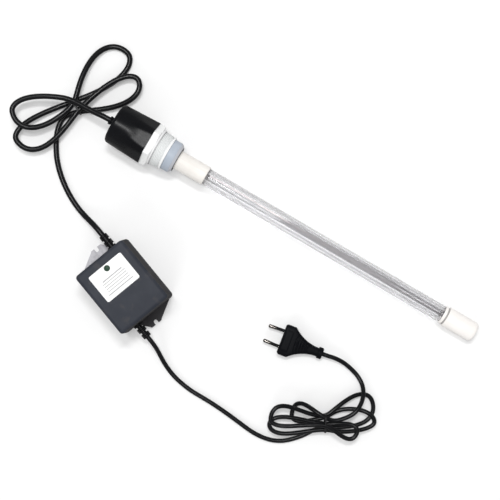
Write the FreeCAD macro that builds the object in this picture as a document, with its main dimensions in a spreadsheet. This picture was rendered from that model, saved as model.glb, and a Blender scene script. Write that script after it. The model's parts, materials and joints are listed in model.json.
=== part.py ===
import FreeCAD, Part
import math
import os
import re
import Sketcher
from FreeCAD import Placement, Rotation, Vector

# Submersible ultraviolet clarifier lamp: lamp head, quartz lamp, ballast box, two cords and a mains plug.
# Millimetres. +X runs along the lamp from its boot to its far cap, +Z is up and the floor is at z = 0.
# The origin is the centre of the ballast box's underside.

SIZES = {
    # Rubber boot over the back of the head
    "BootLength": 45.0,
    "BootRearRadius": 23.4,
    "BootFrontRadius": 25.2,
    "BootFlatReach": 23.2,
    "BootRearWall": 4.0,
    "BootRearRounding": 3.5,
    "NubRadius": 4.9,
    "NubLength": 6.0,
    "CordFit": 0.2,
    # Threaded plug
    "BossLength": 16.0,
    "BossFlatReach": 20.8,
    "BossCornerRadius": 23.0,
    "BootFit": 0.2,
    "FlangeLength": 7.5,
    "FlangeFlatReach": 21.7,
    "FlangeCornerRadius": 24.9,
    "NeckRadius": 17.3,
    "ThreadLength": 9.8,
    "ThreadCrestRadius": 20.0,
    "ThreadDepth": 0.8,
    "GrooveWidth": 0.5,
    "GrooveRadius": 19.0,
    "RingLength": 3.0,
    "RingRadius": 19.8,
    "PlugBore": 16.0,
    # Flat gasket on the neck
    "GasketLength": 3.2,
    "GasketRadius": 21.0,
    "GasketFit": 0.15,
    # Cone seal
    "SealRadius": 18.0,
    "SealBodyLength": 8.8,
    "SealNoseLength": 3.7,
    "SealNoseRadius": 14.2,
    "SealBore": 12.3,
    "SealLipLength": 7.0,
    "SpigotLength": 4.0,
    "SlidingFit": 0.3,
    # Socket, contacts and wires in the head
    "SocketLength": 20.0,
    "SocketSetback": 4.0,
    "SocketFit": 0.15,
    "ContactRadius": 2.2,
    "ContactTail": 4.0,
    "PottingLength": 6.0,
    "WireRadius": 0.8,
    "WireFit": 0.15,
    "CoreSpread": 1.2,
    "CordEndLength": 16.0,
    # Lamp
    "BaseRadius": 11.0,
    "BaseExposed": 36.3,
    "BaseChannel": 4.0,
    "TubeGrip": 12.0,
    "PinRadius": 1.15,
    "PinLength": 8.0,
    "PinRoot": 4.0,
    "PinSpacing": 8.0,
    "TubeRadius": 9.5,
    "TubeWall": 1.2,
    "TubeExposed": 305.2,
    "GlueGap": 0.1,
    "StemLength": 6.0,
    "PostLength": 8.0,
    "PostRadius": 0.4,
    "PostSpacing": 5.0,
    "FilamentRadius": 0.9,
    "ReturnWireRadius": 0.9,
    "CollarLength": 5.0,
    "CollarRadius": 10.2,
    "CapRadius": 11.3,
    "CapLength": 37.4,
    "CapGrip": 7.0,
    "CapChannel": 6.0,
    "CapEndWall": 8.0,
    "CapRounding": 4.0,
    "ReturnWireDrop": 3.5,
    # Place of the lamp on the floor
    "LampFrontX": -56.0,
    "LampAxisY": 151.5,
    # Ballast box
    "BoxLength": 84.0,
    "BoxWidth": 69.0,
    "BoxHeight": 52.0,
    "BoxDraft": 1.65,
    "BoxCorner": 4.0,
    "TrayHeight": 14.0,
    "BoxWall": 2.2,
    "BoxYaw": -20.4,
    "EarThickness": 3.0,
    "EarLength": 13.0,
    "EarTipAcross": 7.0,
    "EarTipBeside": 8.0,
    "EarTipChamfer": 1.0,
    "EarKneeOut": 3.5,
    "EarKneeAcross": 22.3,
    "EarRootOut": 0.5,
    "EarRootAcross": 27.5,
    "EarRootBeside": 17.0,
    "NotchWidth": 4.7,
    "NotchDepth": 5.0,
    # Screws that close the box
    "ScrewInset": 6.5,
    "ScrewTipRoom": 1.0,
    "ScrewHeadRadius": 3.0,
    "ScrewHeadHeight": 2.2,
    "ScrewHeadRecess": 0.6,
    "ScrewRadius": 1.4,
    "ScrewLength": 20.0,
    "ScrewFit": 0.15,
    "ScrewBossRadius": 4.0,
    # Label and indicator
    "LabelLength": 34.6,
    "LabelWidth": 44.7,
    "LabelThickness": 0.3,
    "LabelCorner": 2.0,
    "LabelX": -13.3,
    "LabelY": 0.65,
    "LensX": -25.9,
    "LensY": 0.9,
    "LensRadius": 3.3,
    "LensFit": 0.15,
    "LensRise": 0.5,
    "LensFlangeRadius": 4.6,
    "LensFlangeHeight": 1.5,
    "DiodeRadius": 2.5,
    "DiodeHeight": 5.0,
    "DiodeLegRadius": 0.3,
    # Circuit board and what stands on it
    "BoardLength": 62.0,
    "BoardWidth": 50.0,
    "BoardThickness": 1.6,
    "BoardLift": 3.8,
    "BoardPostRadius": 2.5,
    "BoardPostX": 27.0,
    "BoardPostY": 21.0,
    "BoardScrewRadius": 0.9,
    "BoardScrewHead": 2.0,
    "BoardScrewHeadHeight": 1.4,
    "BossClearance": 0.3,
    "ChokeY": 14.0,
    "ChokeLength": 26.0,
    "ChokeDepth": 12.0,
    "ChokeHeight": 24.0,
    "ChokeLimb": 8.0,
    "ChokeYoke": 5.0,
    "WindingOverhang": 4.0,
    "WindingFit": 0.2,
    "BulkX": 8.0,
    "BulkY": -16.0,
    "BulkRadius": 6.5,
    "BulkLength": 24.0,
    "FilmX": -15.0,
    "FilmY": -16.0,
    "FilmLength": 18.0,
    "FilmDepth": 7.0,
    "FilmHeight": 12.0,
    "TransistorX": 22.0,
    "TransistorY": 2.0,
    "TransistorPitch": 8.0,
    "TransistorLength": 10.0,
    "TransistorDepth": 4.5,
    "TransistorHeight": 15.0,
    "DiodePackX": -28.0,
    "DiodePackY": -4.0,
    "DiodePackPitch": 3.5,
    "DiodePackRadius": 1.4,
    "DiodePackLength": 5.0,
    "FuseX": 6.0,
    "FuseY": -3.0,
    "FuseRadius": 2.4,
    "FuseCapRadius": 2.7,
    "FuseLength": 20.0,
    "FuseCapLength": 5.0,
    "TerminalLength": 9.0,
    "TerminalWidth": 13.0,
    "TerminalHeight": 10.0,
    "TerminalX": 26.0,
    "CoreOffset": 0.9,
    # Ribbed cord glands
    "GlandOffset": 16.5,
    "GlandHeight": 14.0,
    "GlandRadius": 5.3,
    "GlandLength": 18.0,
    "GlandNeckRadius": 4.8,
    "GlandFlangeRadius": 6.8,
    "GlandFlangeLength": 2.0,
    "GlandFit": 0.15,
    "GlandWeb": 3.0,
    "GlandWall": 0.4,
    "GlandNeckLength": 3.1,
    "WindowStart": 2.4,
    "WindowPitch": 3.8,
    "WindowLength": 2.3,
    # Cords
    "LeadDiameter": 6.2,
    "MainsDiameter": 5.0,
    "TieWidth": 2.0,
    "TieThickness": 0.6,
    "TieFit": 0.9,
    # Mains plug
    "PlugX": 181.2,
    "PlugY": 37.1,
    "PlugYaw": 9.6,
    "PlugWidth": 35.3,
    "PlugThickness": 13.7,
    "PlugHeadLength": 11.6,
    "PlugFlareEnd": 43.0,
    "PlugLength": 48.6,
    "PlugRingRadius": 6.6,
    "PlugNeckWidth": 10.0,
    "PlugRounding": 2.5,
    "PlugCollarRoot": 3.0,
    "PlugGrooveStart": 5.0,
    "PlugGroovePitch": 3.08,
    "PlugGrooveDepth": 0.8,
    "PlugGrooveWidth": 1.4,
    "BridgeWidth": 27.0,
    "BridgeThickness": 9.0,
    "BridgeDepth": 8.0,
    "MainsPinSpacing": 18.6,
    "MainsPinSpacingAtTip": 17.5,
    "MainsPinLength": 19.0,
    "MainsPinRadius": 2.0,
    "MainsPinRoot": 6.0,
    "MainsPinTip": 0.8,
    "MainsPinCore": 1.5,
    "SleeveLength": 10.0,
    "SleeveRadius": 1.8,
    "SleeveFit": 0.05,
}

# Counts
THREAD_TURNS = 6
PLUG_GROOVES = 6
GLAND_WINDOWS = 4

# Stations along the lamp's axis, from the front of the boot
FLANGE_END = "FlangeLength"
NECK_END = FLANGE_END + " + GasketLength"
THREAD_END = NECK_END + " + ThreadLength"
RING_START = THREAD_END + " + GrooveWidth"
HEAD_END = RING_START + " + RingLength"
SEAL_SHOULDER = HEAD_END + " + SealBodyLength"
SEAL_END = SEAL_SHOULDER + " + SealNoseLength"
BASE_END = SEAL_END + " + BaseExposed"
TUBE_START = f"{BASE_END} - TubeGrip"
TUBE_END = BASE_END + " + TubeExposed"
COLLAR_END = TUBE_END + " + CollarLength"
QUARTZ_END = COLLAR_END + " + CapGrip"
CAP_END = COLLAR_END + " + CapLength"
SPIGOT_START = f"{HEAD_END} - SpigotLength"
SOCKET_FRONT = f"{SPIGOT_START} - SocketSetback"
SOCKET_REAR = f"{SOCKET_FRONT} - SocketLength"
POTTING_REAR = f"{SOCKET_REAR} - PottingLength"
BASE_REAR = f"{SOCKET_FRONT} + SlidingFit"

doc = FreeCAD.newDocument("clarifier_lamp")
sheet = doc.addObject("Spreadsheet::Sheet", "Sizes")
for row, (alias, number) in enumerate(SIZES.items(), start=1):
    sheet.set(f"A{row}", alias)
    sheet.set(f"B{row}", str(number))
    sheet.setAlias(f"B{row}", alias)
doc.recompute()

subparts = []


def bound(text):
    """An expression on the sheet's aliases, from a text that names them."""
    return re.sub(r"\b([A-Z]\w+)\b", r"Sizes.\1", text)


def value(text):
    """The number that an expression on the sheet's aliases gives now."""
    return float(sheet.evalExpression(bound(text)))


def place(thing, x="0", y="0", z="0", turn=Rotation()):
    """Turns a primitive and binds its position to the sheet."""
    thing.Placement = Placement(Vector(value(x), value(y), value(z)), turn)
    for axis, text in zip("xyz", (x, y, z)):
        thing.setExpression(f"Placement.Base.{axis}", bound(text))
    return thing


def primitive(kind, name, sizes, x="0", y="0", z="0", turn=Rotation()):
    """A Part primitive whose sizes and position follow the sheet."""
    thing = doc.addObject(f"Part::{kind}", name)
    for key, text in sizes.items():
        thing.setExpression(key, bound(text))
    return place(thing, x, y, z, turn)


ALONG_X = Rotation(Vector(0, 1, 0), 90)
HEX_FLAT_UP = ALONG_X.multiply(Rotation(Vector(0, 0, 1), 30))


def rod(name, radius, length, x="0", y="0", z="0", turn=ALONG_X):
    """A cylinder, along X unless it is turned."""
    return primitive("Cylinder", name, {"Radius": radius, "Height": length}, x, y, z, turn)


def post(name, radius, length, x="0", y="0", z="0"):
    """A cylinder along Z."""
    return rod(name, radius, length, x, y, z, Rotation())


def block(name, length, width, height, x="0", y="0", z="0"):
    """A box that is centred on x and y and stands on z."""
    sizes = {"Length": length, "Width": width, "Height": height}
    return primitive("Box", name, sizes, f"{x} - ({length})/2", f"{y} - ({width})/2", z)


def hexagon(name, flat_reach, length, x="0"):
    """A hexagonal prism along X with flats above and below."""
    sizes = {"Circumradius": f"({flat_reach}) / sqrt(0.75)", "Height": length}
    prism = primitive("Prism", name, sizes, x, turn=HEX_FLAT_UP)
    prism.Polygon = 6
    return prism


def join(name, pieces):
    """Several pieces fused into one."""
    fusion = doc.addObject("Part::MultiFuse", name)
    fusion.Shapes = pieces
    return fusion


def common(name, first, second):
    """What two pieces share."""
    shared = doc.addObject("Part::MultiCommon", name)
    shared.Shapes = [first, second]
    return shared


def cut(name, base, tools):
    """A piece without its holes."""
    cutting = doc.addObject("Part::Cut", name)
    cutting.Base = base
    cutting.Tool = tools[0] if len(tools) == 1 else join(f"{name}_holes", tools)
    return cutting


def group(name, pieces):
    """Identical pieces that share a node, each a solid of its own."""
    bundle = doc.addObject("Part::Compound", name)
    bundle.Links = pieces
    return bundle


def keep(node, thing, frame=Placement()):
    """Names a sub-part and sets it in its frame."""
    if thing.TypeId not in ("Part::Feature", "PartDesign::Body", "Part::Compound"):
        thing = group(f"{node}_set", [thing])
    thing.Label = node
    thing.Placement = frame
    subparts.append(thing)
    return thing


def origin_plane(body, role):
    """One of a body's own origin planes."""
    return next(feature for feature in body.Origin.OriginFeatures if feature.Role == role)


def draw_outline(sketch, outline):
    """Draws a closed outline of straight sides with every corner bound to the sheet."""
    corners = [Vector(value(x), value(y), 0) for x, y in outline]
    count = len(corners)
    for index in range(count):
        sketch.addGeometry(Part.LineSegment(corners[index], corners[(index + 1) % count]), False)
    for index in range(count):
        sketch.addConstraint(Sketcher.Constraint("Coincident", index, 2, (index + 1) % count, 1))
    for index, corner in enumerate(outline):
        for kind, text in zip(("DistanceX", "DistanceY"), corner):
            number = sketch.addConstraint(Sketcher.Constraint(kind, -1, 1, index, 1, value(text)))
            sketch.setExpression(f"Constraints[{number}]", bound(text))


def new_sketch(body, name, role, outline, lift="0"):
    """A sketch on one of the body's origin planes, lifted off it along its normal."""
    sketch = body.newObject("Sketcher::SketchObject", name)
    sketch.AttachmentSupport = (origin_plane(body, role), "")
    sketch.MapMode = "FlatFace"
    sketch.AttachmentOffset = Placement(Vector(0, 0, value(lift)), Rotation())
    sketch.setExpression("AttachmentOffset.Base.z", bound(lift))
    draw_outline(sketch, outline)
    return sketch


def turned(name, outline):
    """A body of revolution about X, from an outline of (station, radius) corners."""
    body = doc.addObject("PartDesign::Body", name)
    turning = body.newObject("PartDesign::Revolution", f"{name}_turning")
    turning.Profile = new_sketch(body, f"{name}_profile", "XZ_Plane", outline)
    turning.ReferenceAxis = (turning.Profile[0], ["H_Axis"])
    turning.Angle = 360
    body.Tip = turning
    doc.recompute()
    return body


def ring_outline(outer, inner, start, end):
    """The profile of a plain ring."""
    return [(start, inner), (start, outer), (end, outer), (end, inner)]


def rounded(body, radius, wanted):
    """Fillets the edges of a body that a test picks."""
    base = body.Tip
    names = [f"Edge{number}" for number, edge in enumerate(base.Shape.Edges, start=1) if wanted(edge)]
    fillet = body.newObject("PartDesign::Fillet", f"{body.Name}_rounding")
    fillet.Base = (base, names)
    fillet.Radius = value(radius)
    fillet.setExpression("Radius", bound(radius))
    body.Tip = fillet
    doc.recompute()
    return body


def circle_at(station, radius):
    """A test for the circular edge at a station along X."""
    def wanted(edge):
        curve = edge.Curve
        if not isinstance(curve, Part.Circle):
            return False
        return abs(curve.Center.x - value(station)) < 0.01 and abs(curve.Radius - value(radius)) < 0.01
    return wanted


def rectangle(length, width):
    """The corners of a rectangle about the origin."""
    halves = (("-", "-"), ("", "-"), ("", ""), ("-", ""))
    return [(f"{a}({length})/2", f"{b}({width})/2") for a, b in halves]


def drafted_block(name, length, width, z, height):
    """A block whose walls lean in by the box's draft."""
    body = doc.addObject("PartDesign::Body", name)
    pad = body.newObject("PartDesign::Pad", f"{name}_pad")
    pad.Profile = new_sketch(body, f"{name}_plan", "XY_Plane", rectangle(length, width), z)
    pad.Length = value(height)
    pad.setExpression("Length", bound(height))
    pad.TaperAngle = -value("BoxDraft")
    pad.setExpression("TaperAngle", bound("-BoxDraft"))
    body.Tip = pad
    doc.recompute()
    return body


def hollow(body, length, width, z, height):
    """Cuts a drafted hollow upwards into a block."""
    before = body.Shape.Volume
    pocket = body.newObject("PartDesign::Pocket", f"{body.Name}_hollow")
    pocket.Profile = new_sketch(body, f"{body.Name}_mouth", "XY_Plane", rectangle(length, width), z)
    pocket.Reversed = True
    pocket.Length = value(height)
    pocket.setExpression("Length", bound(height))
    pocket.TaperAngle = -value("BoxDraft")
    pocket.setExpression("TaperAngle", bound("-BoxDraft"))
    body.Tip = pocket
    doc.recompute()
    if body.Shape.Volume > 0.8 * before:
        raise RuntimeError(f"{body.Name}: the hollow cut nothing")
    return body


def corners_of(spacing_x, spacing_y):
    """The four places of a rectangular pattern, as (number, x, y)."""
    signs = (("-", "-"), ("", "-"), ("-", ""), ("", ""))
    return [(n, f"{a}({spacing_x})/2", f"{b}({spacing_y})/2") for n, (a, b) in enumerate(signs)]


# Frames

def lamp_tilt():
    """How far the lamp leans: its boot and its far cap both touch the floor."""
    run = value(f"{CAP_END} - CapRounding")
    return math.atan((value("BootFlatReach") - value("CapRadius")) / run)


def lamp_frame():
    """The lamp's axis, from the front of the boot, laid on the floor."""
    lean = lamp_tilt()
    height = value("BootFlatReach") * math.cos(lean)
    turn = Rotation(Vector(0, 1, 0), math.degrees(lean))
    return Placement(Vector(value("LampFrontX"), value("LampAxisY"), height), turn)


def ballast_frame():
    """The ballast box stands askew on the origin."""
    return Placement(Vector(0, 0, 0), Rotation(Vector(0, 0, 1), value("BoxYaw")))


def plug_frame():
    """The mains plug lies flat on the floor, its face towards -X."""
    turn = Rotation(Vector(0, 0, 1), value("PlugYaw"))
    return Placement(Vector(value("PlugX"), value("PlugY"), value("PlugThickness / 2")), turn)


LAMP = lamp_frame()
BALLAST = ballast_frame()
PLUG = plug_frame()


# Head of the lamp

def rubber_boot():
    """A rubber cup stretched over the plug's hexagonal boss, with a nub for the cord."""
    outline = [
        ("-BootLength - NubLength", "0"),
        ("-BootLength - NubLength", "NubRadius"),
        ("-BootLength", "NubRadius"),
        ("-BootLength", "BootRearRadius"),
        ("0", "BootFrontRadius"),
        ("0", "0"),
    ]
    skin = turned("boot_skin", outline)
    rounded(skin, "BootRearRounding", circle_at("-BootLength", "BootRearRadius"))
    whole = "BootLength + NubLength"
    flats = hexagon("boot_flats", "BootFlatReach", whole, "-BootLength - NubLength")
    outside = common("boot_outside", skin, flats)
    hex_room = common(
        "boot_hex_room",
        hexagon("boot_hex", "BossFlatReach + BootFit", "BossLength", "-BossLength"),
        rod("boot_hex_corners", "BossCornerRadius + BootFit", "BossLength", "-BossLength"),
    )
    room_start = "-BootLength + BootRearWall"
    room = rod("boot_room", "PlugBore", f"-BossLength - ({room_start})", room_start)
    bore = rod("boot_bore", "LeadDiameter/2 + CordFit", whole, "-BootLength - NubLength")
    keep("rubber_boot", cut("boot", outside, [hex_room, room, bore]), LAMP)


def thread_outline():
    """The outside of the plug's barrel: neck, thread, groove and end ring."""
    outline = [(FLANGE_END, "0"), (FLANGE_END, "NeckRadius"), (NECK_END, "NeckRadius")]
    root = "ThreadCrestRadius - ThreadDepth"
    for ridge in range(THREAD_TURNS):
        outline.append((f"{NECK_END} + {ridge}*ThreadLength/{THREAD_TURNS}", root))
        outline.append((f"{NECK_END} + {ridge + 0.5}*ThreadLength/{THREAD_TURNS}", "ThreadCrestRadius"))
    outline += [
        (THREAD_END, root),
        (THREAD_END, "GrooveRadius"),
        (RING_START, "GrooveRadius"),
        (RING_START, "RingRadius"),
        (HEAD_END, "RingRadius"),
        (HEAD_END, "0"),
    ]
    return outline


def threaded_plug():
    """The white plug: hexagonal boss in the boot, hexagonal flange, neck, thread and end ring."""
    boss = common(
        "plug_boss",
        hexagon("plug_boss_hex", "BossFlatReach", "BossLength", "-BossLength"),
        rod("plug_boss_corners", "BossCornerRadius", "BossLength", "-BossLength"),
    )
    flange = common(
        "plug_flange",
        hexagon("plug_flange_hex", "FlangeFlatReach", "FlangeLength"),
        rod("plug_flange_corners", "FlangeCornerRadius", "FlangeLength"),
    )
    barrel = turned("plug_barrel", thread_outline())
    solid = join("plug_solid", [boss, flange, barrel])
    bore = rod("plug_bore", "PlugBore", f"BossLength + {HEAD_END}", "-BossLength")
    keep("threaded_plug", cut("plug_cut", solid, [bore]), LAMP)


def flange_gasket():
    """The flat gasket on the neck, between the flange and the thread."""
    outline = ring_outline("GasketRadius", "NeckRadius + GasketFit", FLANGE_END, NECK_END)
    keep("flange_gasket", turned("gasket", outline), LAMP)


def cone_seal():
    """The silicone seal that grips the lamp's base and plugs the head's mouth."""
    outline = [
        (SPIGOT_START, "BaseRadius + SlidingFit"),
        (SPIGOT_START, "PlugBore - SlidingFit"),
        (HEAD_END, "PlugBore - SlidingFit"),
        (HEAD_END, "SealRadius"),
        (SEAL_SHOULDER, "SealRadius"),
        (SEAL_END, "SealNoseRadius"),
        (SEAL_END, "SealBore"),
        (f"{SPIGOT_START} + SealLipLength", "SealBore"),
        (f"{SPIGOT_START} + SealLipLength", "BaseRadius + SlidingFit"),
    ]
    keep("cone_seal", turned("seal", outline), LAMP)


def pin_places():
    """The four places of the lamp's pins about its axis."""
    return corners_of("PinSpacing", "PinSpacing")


def lamp_socket():
    """The socket in the head, with a hole for each contact."""
    shell = rod("socket_shell", "PlugBore - SocketFit", "SocketLength", SOCKET_REAR)
    holes = [
        rod(f"socket_hole_{n}", "ContactRadius + SocketFit", "SocketLength", SOCKET_REAR, y, z)
        for n, y, z in pin_places()
    ]
    keep("lamp_socket", cut("socket_cut", shell, holes), LAMP)


def socket_contacts():
    """Four sleeves that the lamp's pins slide into."""
    sleeves = []
    for n, y, z in pin_places():
        outside = rod(f"contact_{n}_outside", "ContactRadius", "SocketLength", SOCKET_REAR, y, z)
        bore_start = f"{SOCKET_REAR} + ContactTail"
        bore_length = "SocketLength - ContactTail"
        bore = rod(f"contact_{n}_bore", "PinRadius + SlidingFit", bore_length, bore_start, y, z)
        sleeves.append(cut(f"contact_{n}", outside, [bore]))
    keep("socket_contacts", group("contacts", sleeves), LAMP)


def head_potting():
    """Potting compound behind the socket, with the four wires through it."""
    disc = rod("potting_disc", "PlugBore - SocketFit", "PottingLength", POTTING_REAR)
    holes = [
        rod(f"potting_hole_{n}", "WireRadius + WireFit", "PottingLength", POTTING_REAR, y, z)
        for n, y, z in pin_places()
    ]
    keep("head_potting", cut("potting_cut", disc, holes), LAMP)


def head_cord_end():
    """The end of the lamp cord's jacket, inside the boot's nub."""
    start = "-BootLength - NubLength"
    keep("head_cord_end", rod("cord_end", "LeadDiameter/2", "CordEndLength", start), LAMP)


def head_wires():
    """Four wires from the cord's jacket to the socket's contacts."""
    start = value("CordEndLength - BootLength - NubLength")
    finish = value(SOCKET_REAR)
    spread = value("CoreSpread")
    reach = value("PinSpacing / 2")
    run = (finish - start) / 3
    wires = []
    for side in (-1, 1):
        for rise in (-1, 1):
            route = [
                Vector(start, side * spread, rise * spread),
                Vector(start + 0.6 * run, side * spread, rise * spread),
                Vector(start + 1.6 * run, side * reach, rise * reach),
                Vector(finish, side * reach, rise * reach),
            ]
            wires.append(cord_tube(route, value("WireRadius")))
    keep("head_wires", shape_feature("wires", Part.makeCompound(wires)), LAMP)


# Lamp

def lamp_base():
    """The near ceramic base: the tube is cemented in its mouth and four pins in its back."""
    outline = [
        (BASE_REAR, "BaseChannel"),
        (BASE_REAR, "BaseRadius"),
        (BASE_END, "BaseRadius"),
        (BASE_END, "TubeRadius + GlueGap"),
        (TUBE_START, "TubeRadius + GlueGap"),
        (TUBE_START, "BaseChannel"),
    ]
    holes = [
        rod(f"base_hole_{n}", "PinRadius + GlueGap", "PinRoot", BASE_REAR, y, z)
        for n, y, z in pin_places()
    ]
    keep("lamp_base", cut("base_cut", turned("base", outline), holes), LAMP)


def base_pins():
    """Four contact pins."""
    pins = [
        rod(f"pin_{n}", "PinRadius", "PinLength + PinRoot", f"{BASE_REAR} - PinLength", y, z)
        for n, y, z in pin_places()
    ]
    keep("base_pins", group("pins", pins), LAMP)


def quartz_tube():
    """The clear tube from the near base to the far cap."""
    outline = ring_outline("TubeRadius", "TubeRadius - TubeWall", TUBE_START, QUARTZ_END)
    keep("quartz_tube", turned("quartz", outline), LAMP)


def glass_stem(node, start):
    """The glass stem that closes an end of the tube."""
    keep(node, rod(f"{node}_rod", "TubeRadius - TubeWall - GlueGap", "StemLength", start), LAMP)


def filament(node, face, sign):
    """A coiled filament across the ends of two posts that stand on a stem."""
    start = face if sign > 0 else f"{face} - PostLength"
    tip = f"{face} + PostLength" if sign > 0 else start
    posts = [
        rod(f"{node}_post_{n}", "PostRadius", "PostLength", start, f"{side}PostSpacing/2")
        for n, side in enumerate(("-", ""))
    ]
    across = Rotation(Vector(1, 0, 0), -90)
    coil = rod(f"{node}_coil", "FilamentRadius", "PostSpacing + 4*PostRadius", tip,
               "-PostSpacing/2 - 2*PostRadius", "0", across)
    keep(node, join(f"{node}_wire", [coil] + posts), LAMP)


# The return wire's way off the tube's middle plane, as (share of its length, distance)
RETURN_WIRE_SWAY = (
    (0.0, 2.2),
    (0.13, 3.3),
    (0.3, 2.4),
    (0.5, 0.6),
    (0.68, -0.6),
    (0.86, -1.1),
    (1.0, -0.4),
)


def return_wire():
    """The sleeved wire that runs along the inside of the tube, a little slack."""
    start = value(f"{TUBE_START} + StemLength + GlueGap")
    run = value(f"{QUARTZ_END} - StemLength - GlueGap") - start
    drop = value("ReturnWireDrop")
    route = [Vector(start + share * run, sway, -drop) for share, sway in RETURN_WIRE_SWAY]
    wire = cord_tube(route, value("ReturnWireRadius"))
    keep("return_wire", shape_feature("return_wire_run", wire), LAMP)


def far_collar():
    """The collar between the tube and the far cap."""
    outline = ring_outline("CollarRadius", "TubeRadius + GlueGap", TUBE_END, COLLAR_END)
    keep("far_collar", turned("collar", outline), LAMP)


def far_cap():
    """The far ceramic cap, hollow for its wiring, with a rounded end."""
    outline = [
        (COLLAR_END, "TubeRadius + GlueGap"),
        (COLLAR_END, "CapRadius"),
        (CAP_END, "CapRadius"),
        (CAP_END, "0"),
        (f"{CAP_END} - CapEndWall", "0"),
        (f"{CAP_END} - CapEndWall", "CapChannel"),
        (QUARTZ_END, "CapChannel"),
        (QUARTZ_END, "TubeRadius + GlueGap"),
    ]
    cap = rounded(turned("cap", outline), "CapRounding", circle_at(CAP_END, "CapRadius"))
    keep("far_cap", cap, LAMP)


def lamp_pieces():
    """The lamp that pulls out of its socket."""
    lamp_base()
    base_pins()
    quartz_tube()
    glass_stem("near_stem", TUBE_START)
    glass_stem("far_stem", f"{QUARTZ_END} - StemLength")
    filament("near_filament", f"{TUBE_START} + StemLength", 1)
    filament("far_filament", f"{QUARTZ_END} - StemLength", -1)
    return_wire()
    far_collar()
    far_cap()


# Ballast box

COVER_SHRINK = "2*TrayHeight*tan(BoxDraft * 1deg)"
EAR_REACH = "BoxLength/2 + EarLength"
HEAD_SEAT = "ScrewHeadRecess + ScrewHeadHeight"
BOARD_TOP = "BoxWall + BoardLift + BoardThickness"


def flat_plate(name, outline, z, height):
    """A plate from an outline on the XY plane."""
    body = doc.addObject("PartDesign::Body", name)
    pad = body.newObject("PartDesign::Pad", f"{name}_pad")
    pad.Profile = new_sketch(body, f"{name}_plan", "XY_Plane", outline, z)
    pad.Length = value(height)
    pad.setExpression("Length", bound(height))
    body.Tip = pad
    doc.recompute()
    return body


def upright(edge):
    """Whether an edge climbs."""
    return edge.BoundBox.ZLength > 0.1


def fixing_ear(number, sign):
    """A fixing ear with a slanted long flank, a short flank and a round-ended notch."""
    outline = [
        ("BoxLength/2 - BoxWall", "-EarRootBeside"),
        ("BoxLength/2 + EarRootOut", "-EarRootBeside"),
        (f"{EAR_REACH} - EarTipChamfer", "-EarTipBeside"),
        (EAR_REACH, "EarTipChamfer - EarTipBeside"),
        (EAR_REACH, "EarTipAcross - EarTipChamfer"),
        (f"{EAR_REACH} - EarTipChamfer", "EarTipAcross"),
        ("BoxLength/2 + EarKneeOut", "EarKneeAcross"),
        ("BoxLength/2 + EarRootOut", "EarRootAcross"),
        ("BoxLength/2 - BoxWall", "EarRootAcross"),
    ]
    outline = [(f"{sign}({x})", f"{sign}({y})") for x, y in outline]
    ear = flat_plate(f"ear_{number}", outline, "0", "EarThickness")
    depth = "(NotchDepth - NotchWidth/2)"
    inner = f"{sign}({EAR_REACH} - {depth})"
    round_end = post(f"ear_{number}_round", "NotchWidth/2", "EarThickness", inner)
    middle = f"{sign}({EAR_REACH} - {depth}/2)"
    mouth = block(f"ear_{number}_mouth", depth, "NotchWidth", "EarThickness", middle)
    return cut(f"ear_{number}_cut", ear, [round_end, mouth])


def gland_hole(name, side):
    """The round hole for a gland, half in the tray and half in the cover."""
    start = f"{side}(BoxLength/2) - 2*BoxWall"
    offset = "GlandOffset" if side else "-GlandOffset"
    return rod(name, "GlandNeckRadius + GlandFit", "4*BoxWall", start, offset, "GlandHeight")


def screw_places():
    """The four places of the screws that close the box."""
    return corners_of("(BoxLength - 2*ScrewInset)", "(BoxWidth - 2*ScrewInset)")


def board_post_places():
    """The two places of the board's screws."""
    return [(0, "-BoardPostX", "-BoardPostY"), (1, "BoardPostX", "BoardPostY")]


def ballast_base():
    """The shallow tray with fixing ears, screw bosses and board posts."""
    tray = rounded(drafted_block("tray", "BoxLength", "BoxWidth", "0", "TrayHeight"), "BoxCorner", upright)
    hollow(tray, "BoxLength - 2*BoxWall", "BoxWidth - 2*BoxWall", "BoxWall", "TrayHeight - BoxWall")
    ears = [fixing_ear(0, ""), fixing_ear(1, "-")]
    bosses = [
        post(f"tray_boss_{n}", "ScrewBossRadius", "TrayHeight - BoxWall/2", x, y, "BoxWall/2")
        for n, x, y in screw_places()
    ]
    posts = [
        post(f"board_post_{n}", "BoardPostRadius", "BoardLift + BoxWall/2", x, y, "BoxWall/2")
        for n, x, y in board_post_places()
    ]
    holes = [gland_hole("tray_lamp_hole", "-"), gland_hole("tray_mains_hole", "")]
    for n, x, y in screw_places():
        holes.append(post(f"tray_head_hole_{n}", "ScrewHeadRadius + ScrewFit", HEAD_SEAT, x, y))
        holes.append(post(f"tray_screw_hole_{n}", "ScrewRadius + ScrewFit", "TrayHeight", x, y))
    for n, x, y in board_post_places():
        holes.append(post(f"board_pilot_{n}", "BoardScrewRadius + ScrewFit", "BoardLift", x, y, "BoxWall"))
    whole = join("tray_whole", [tray] + ears + bosses + posts)
    keep("ballast_base", cut("tray_cut", whole, holes), BALLAST)


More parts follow.
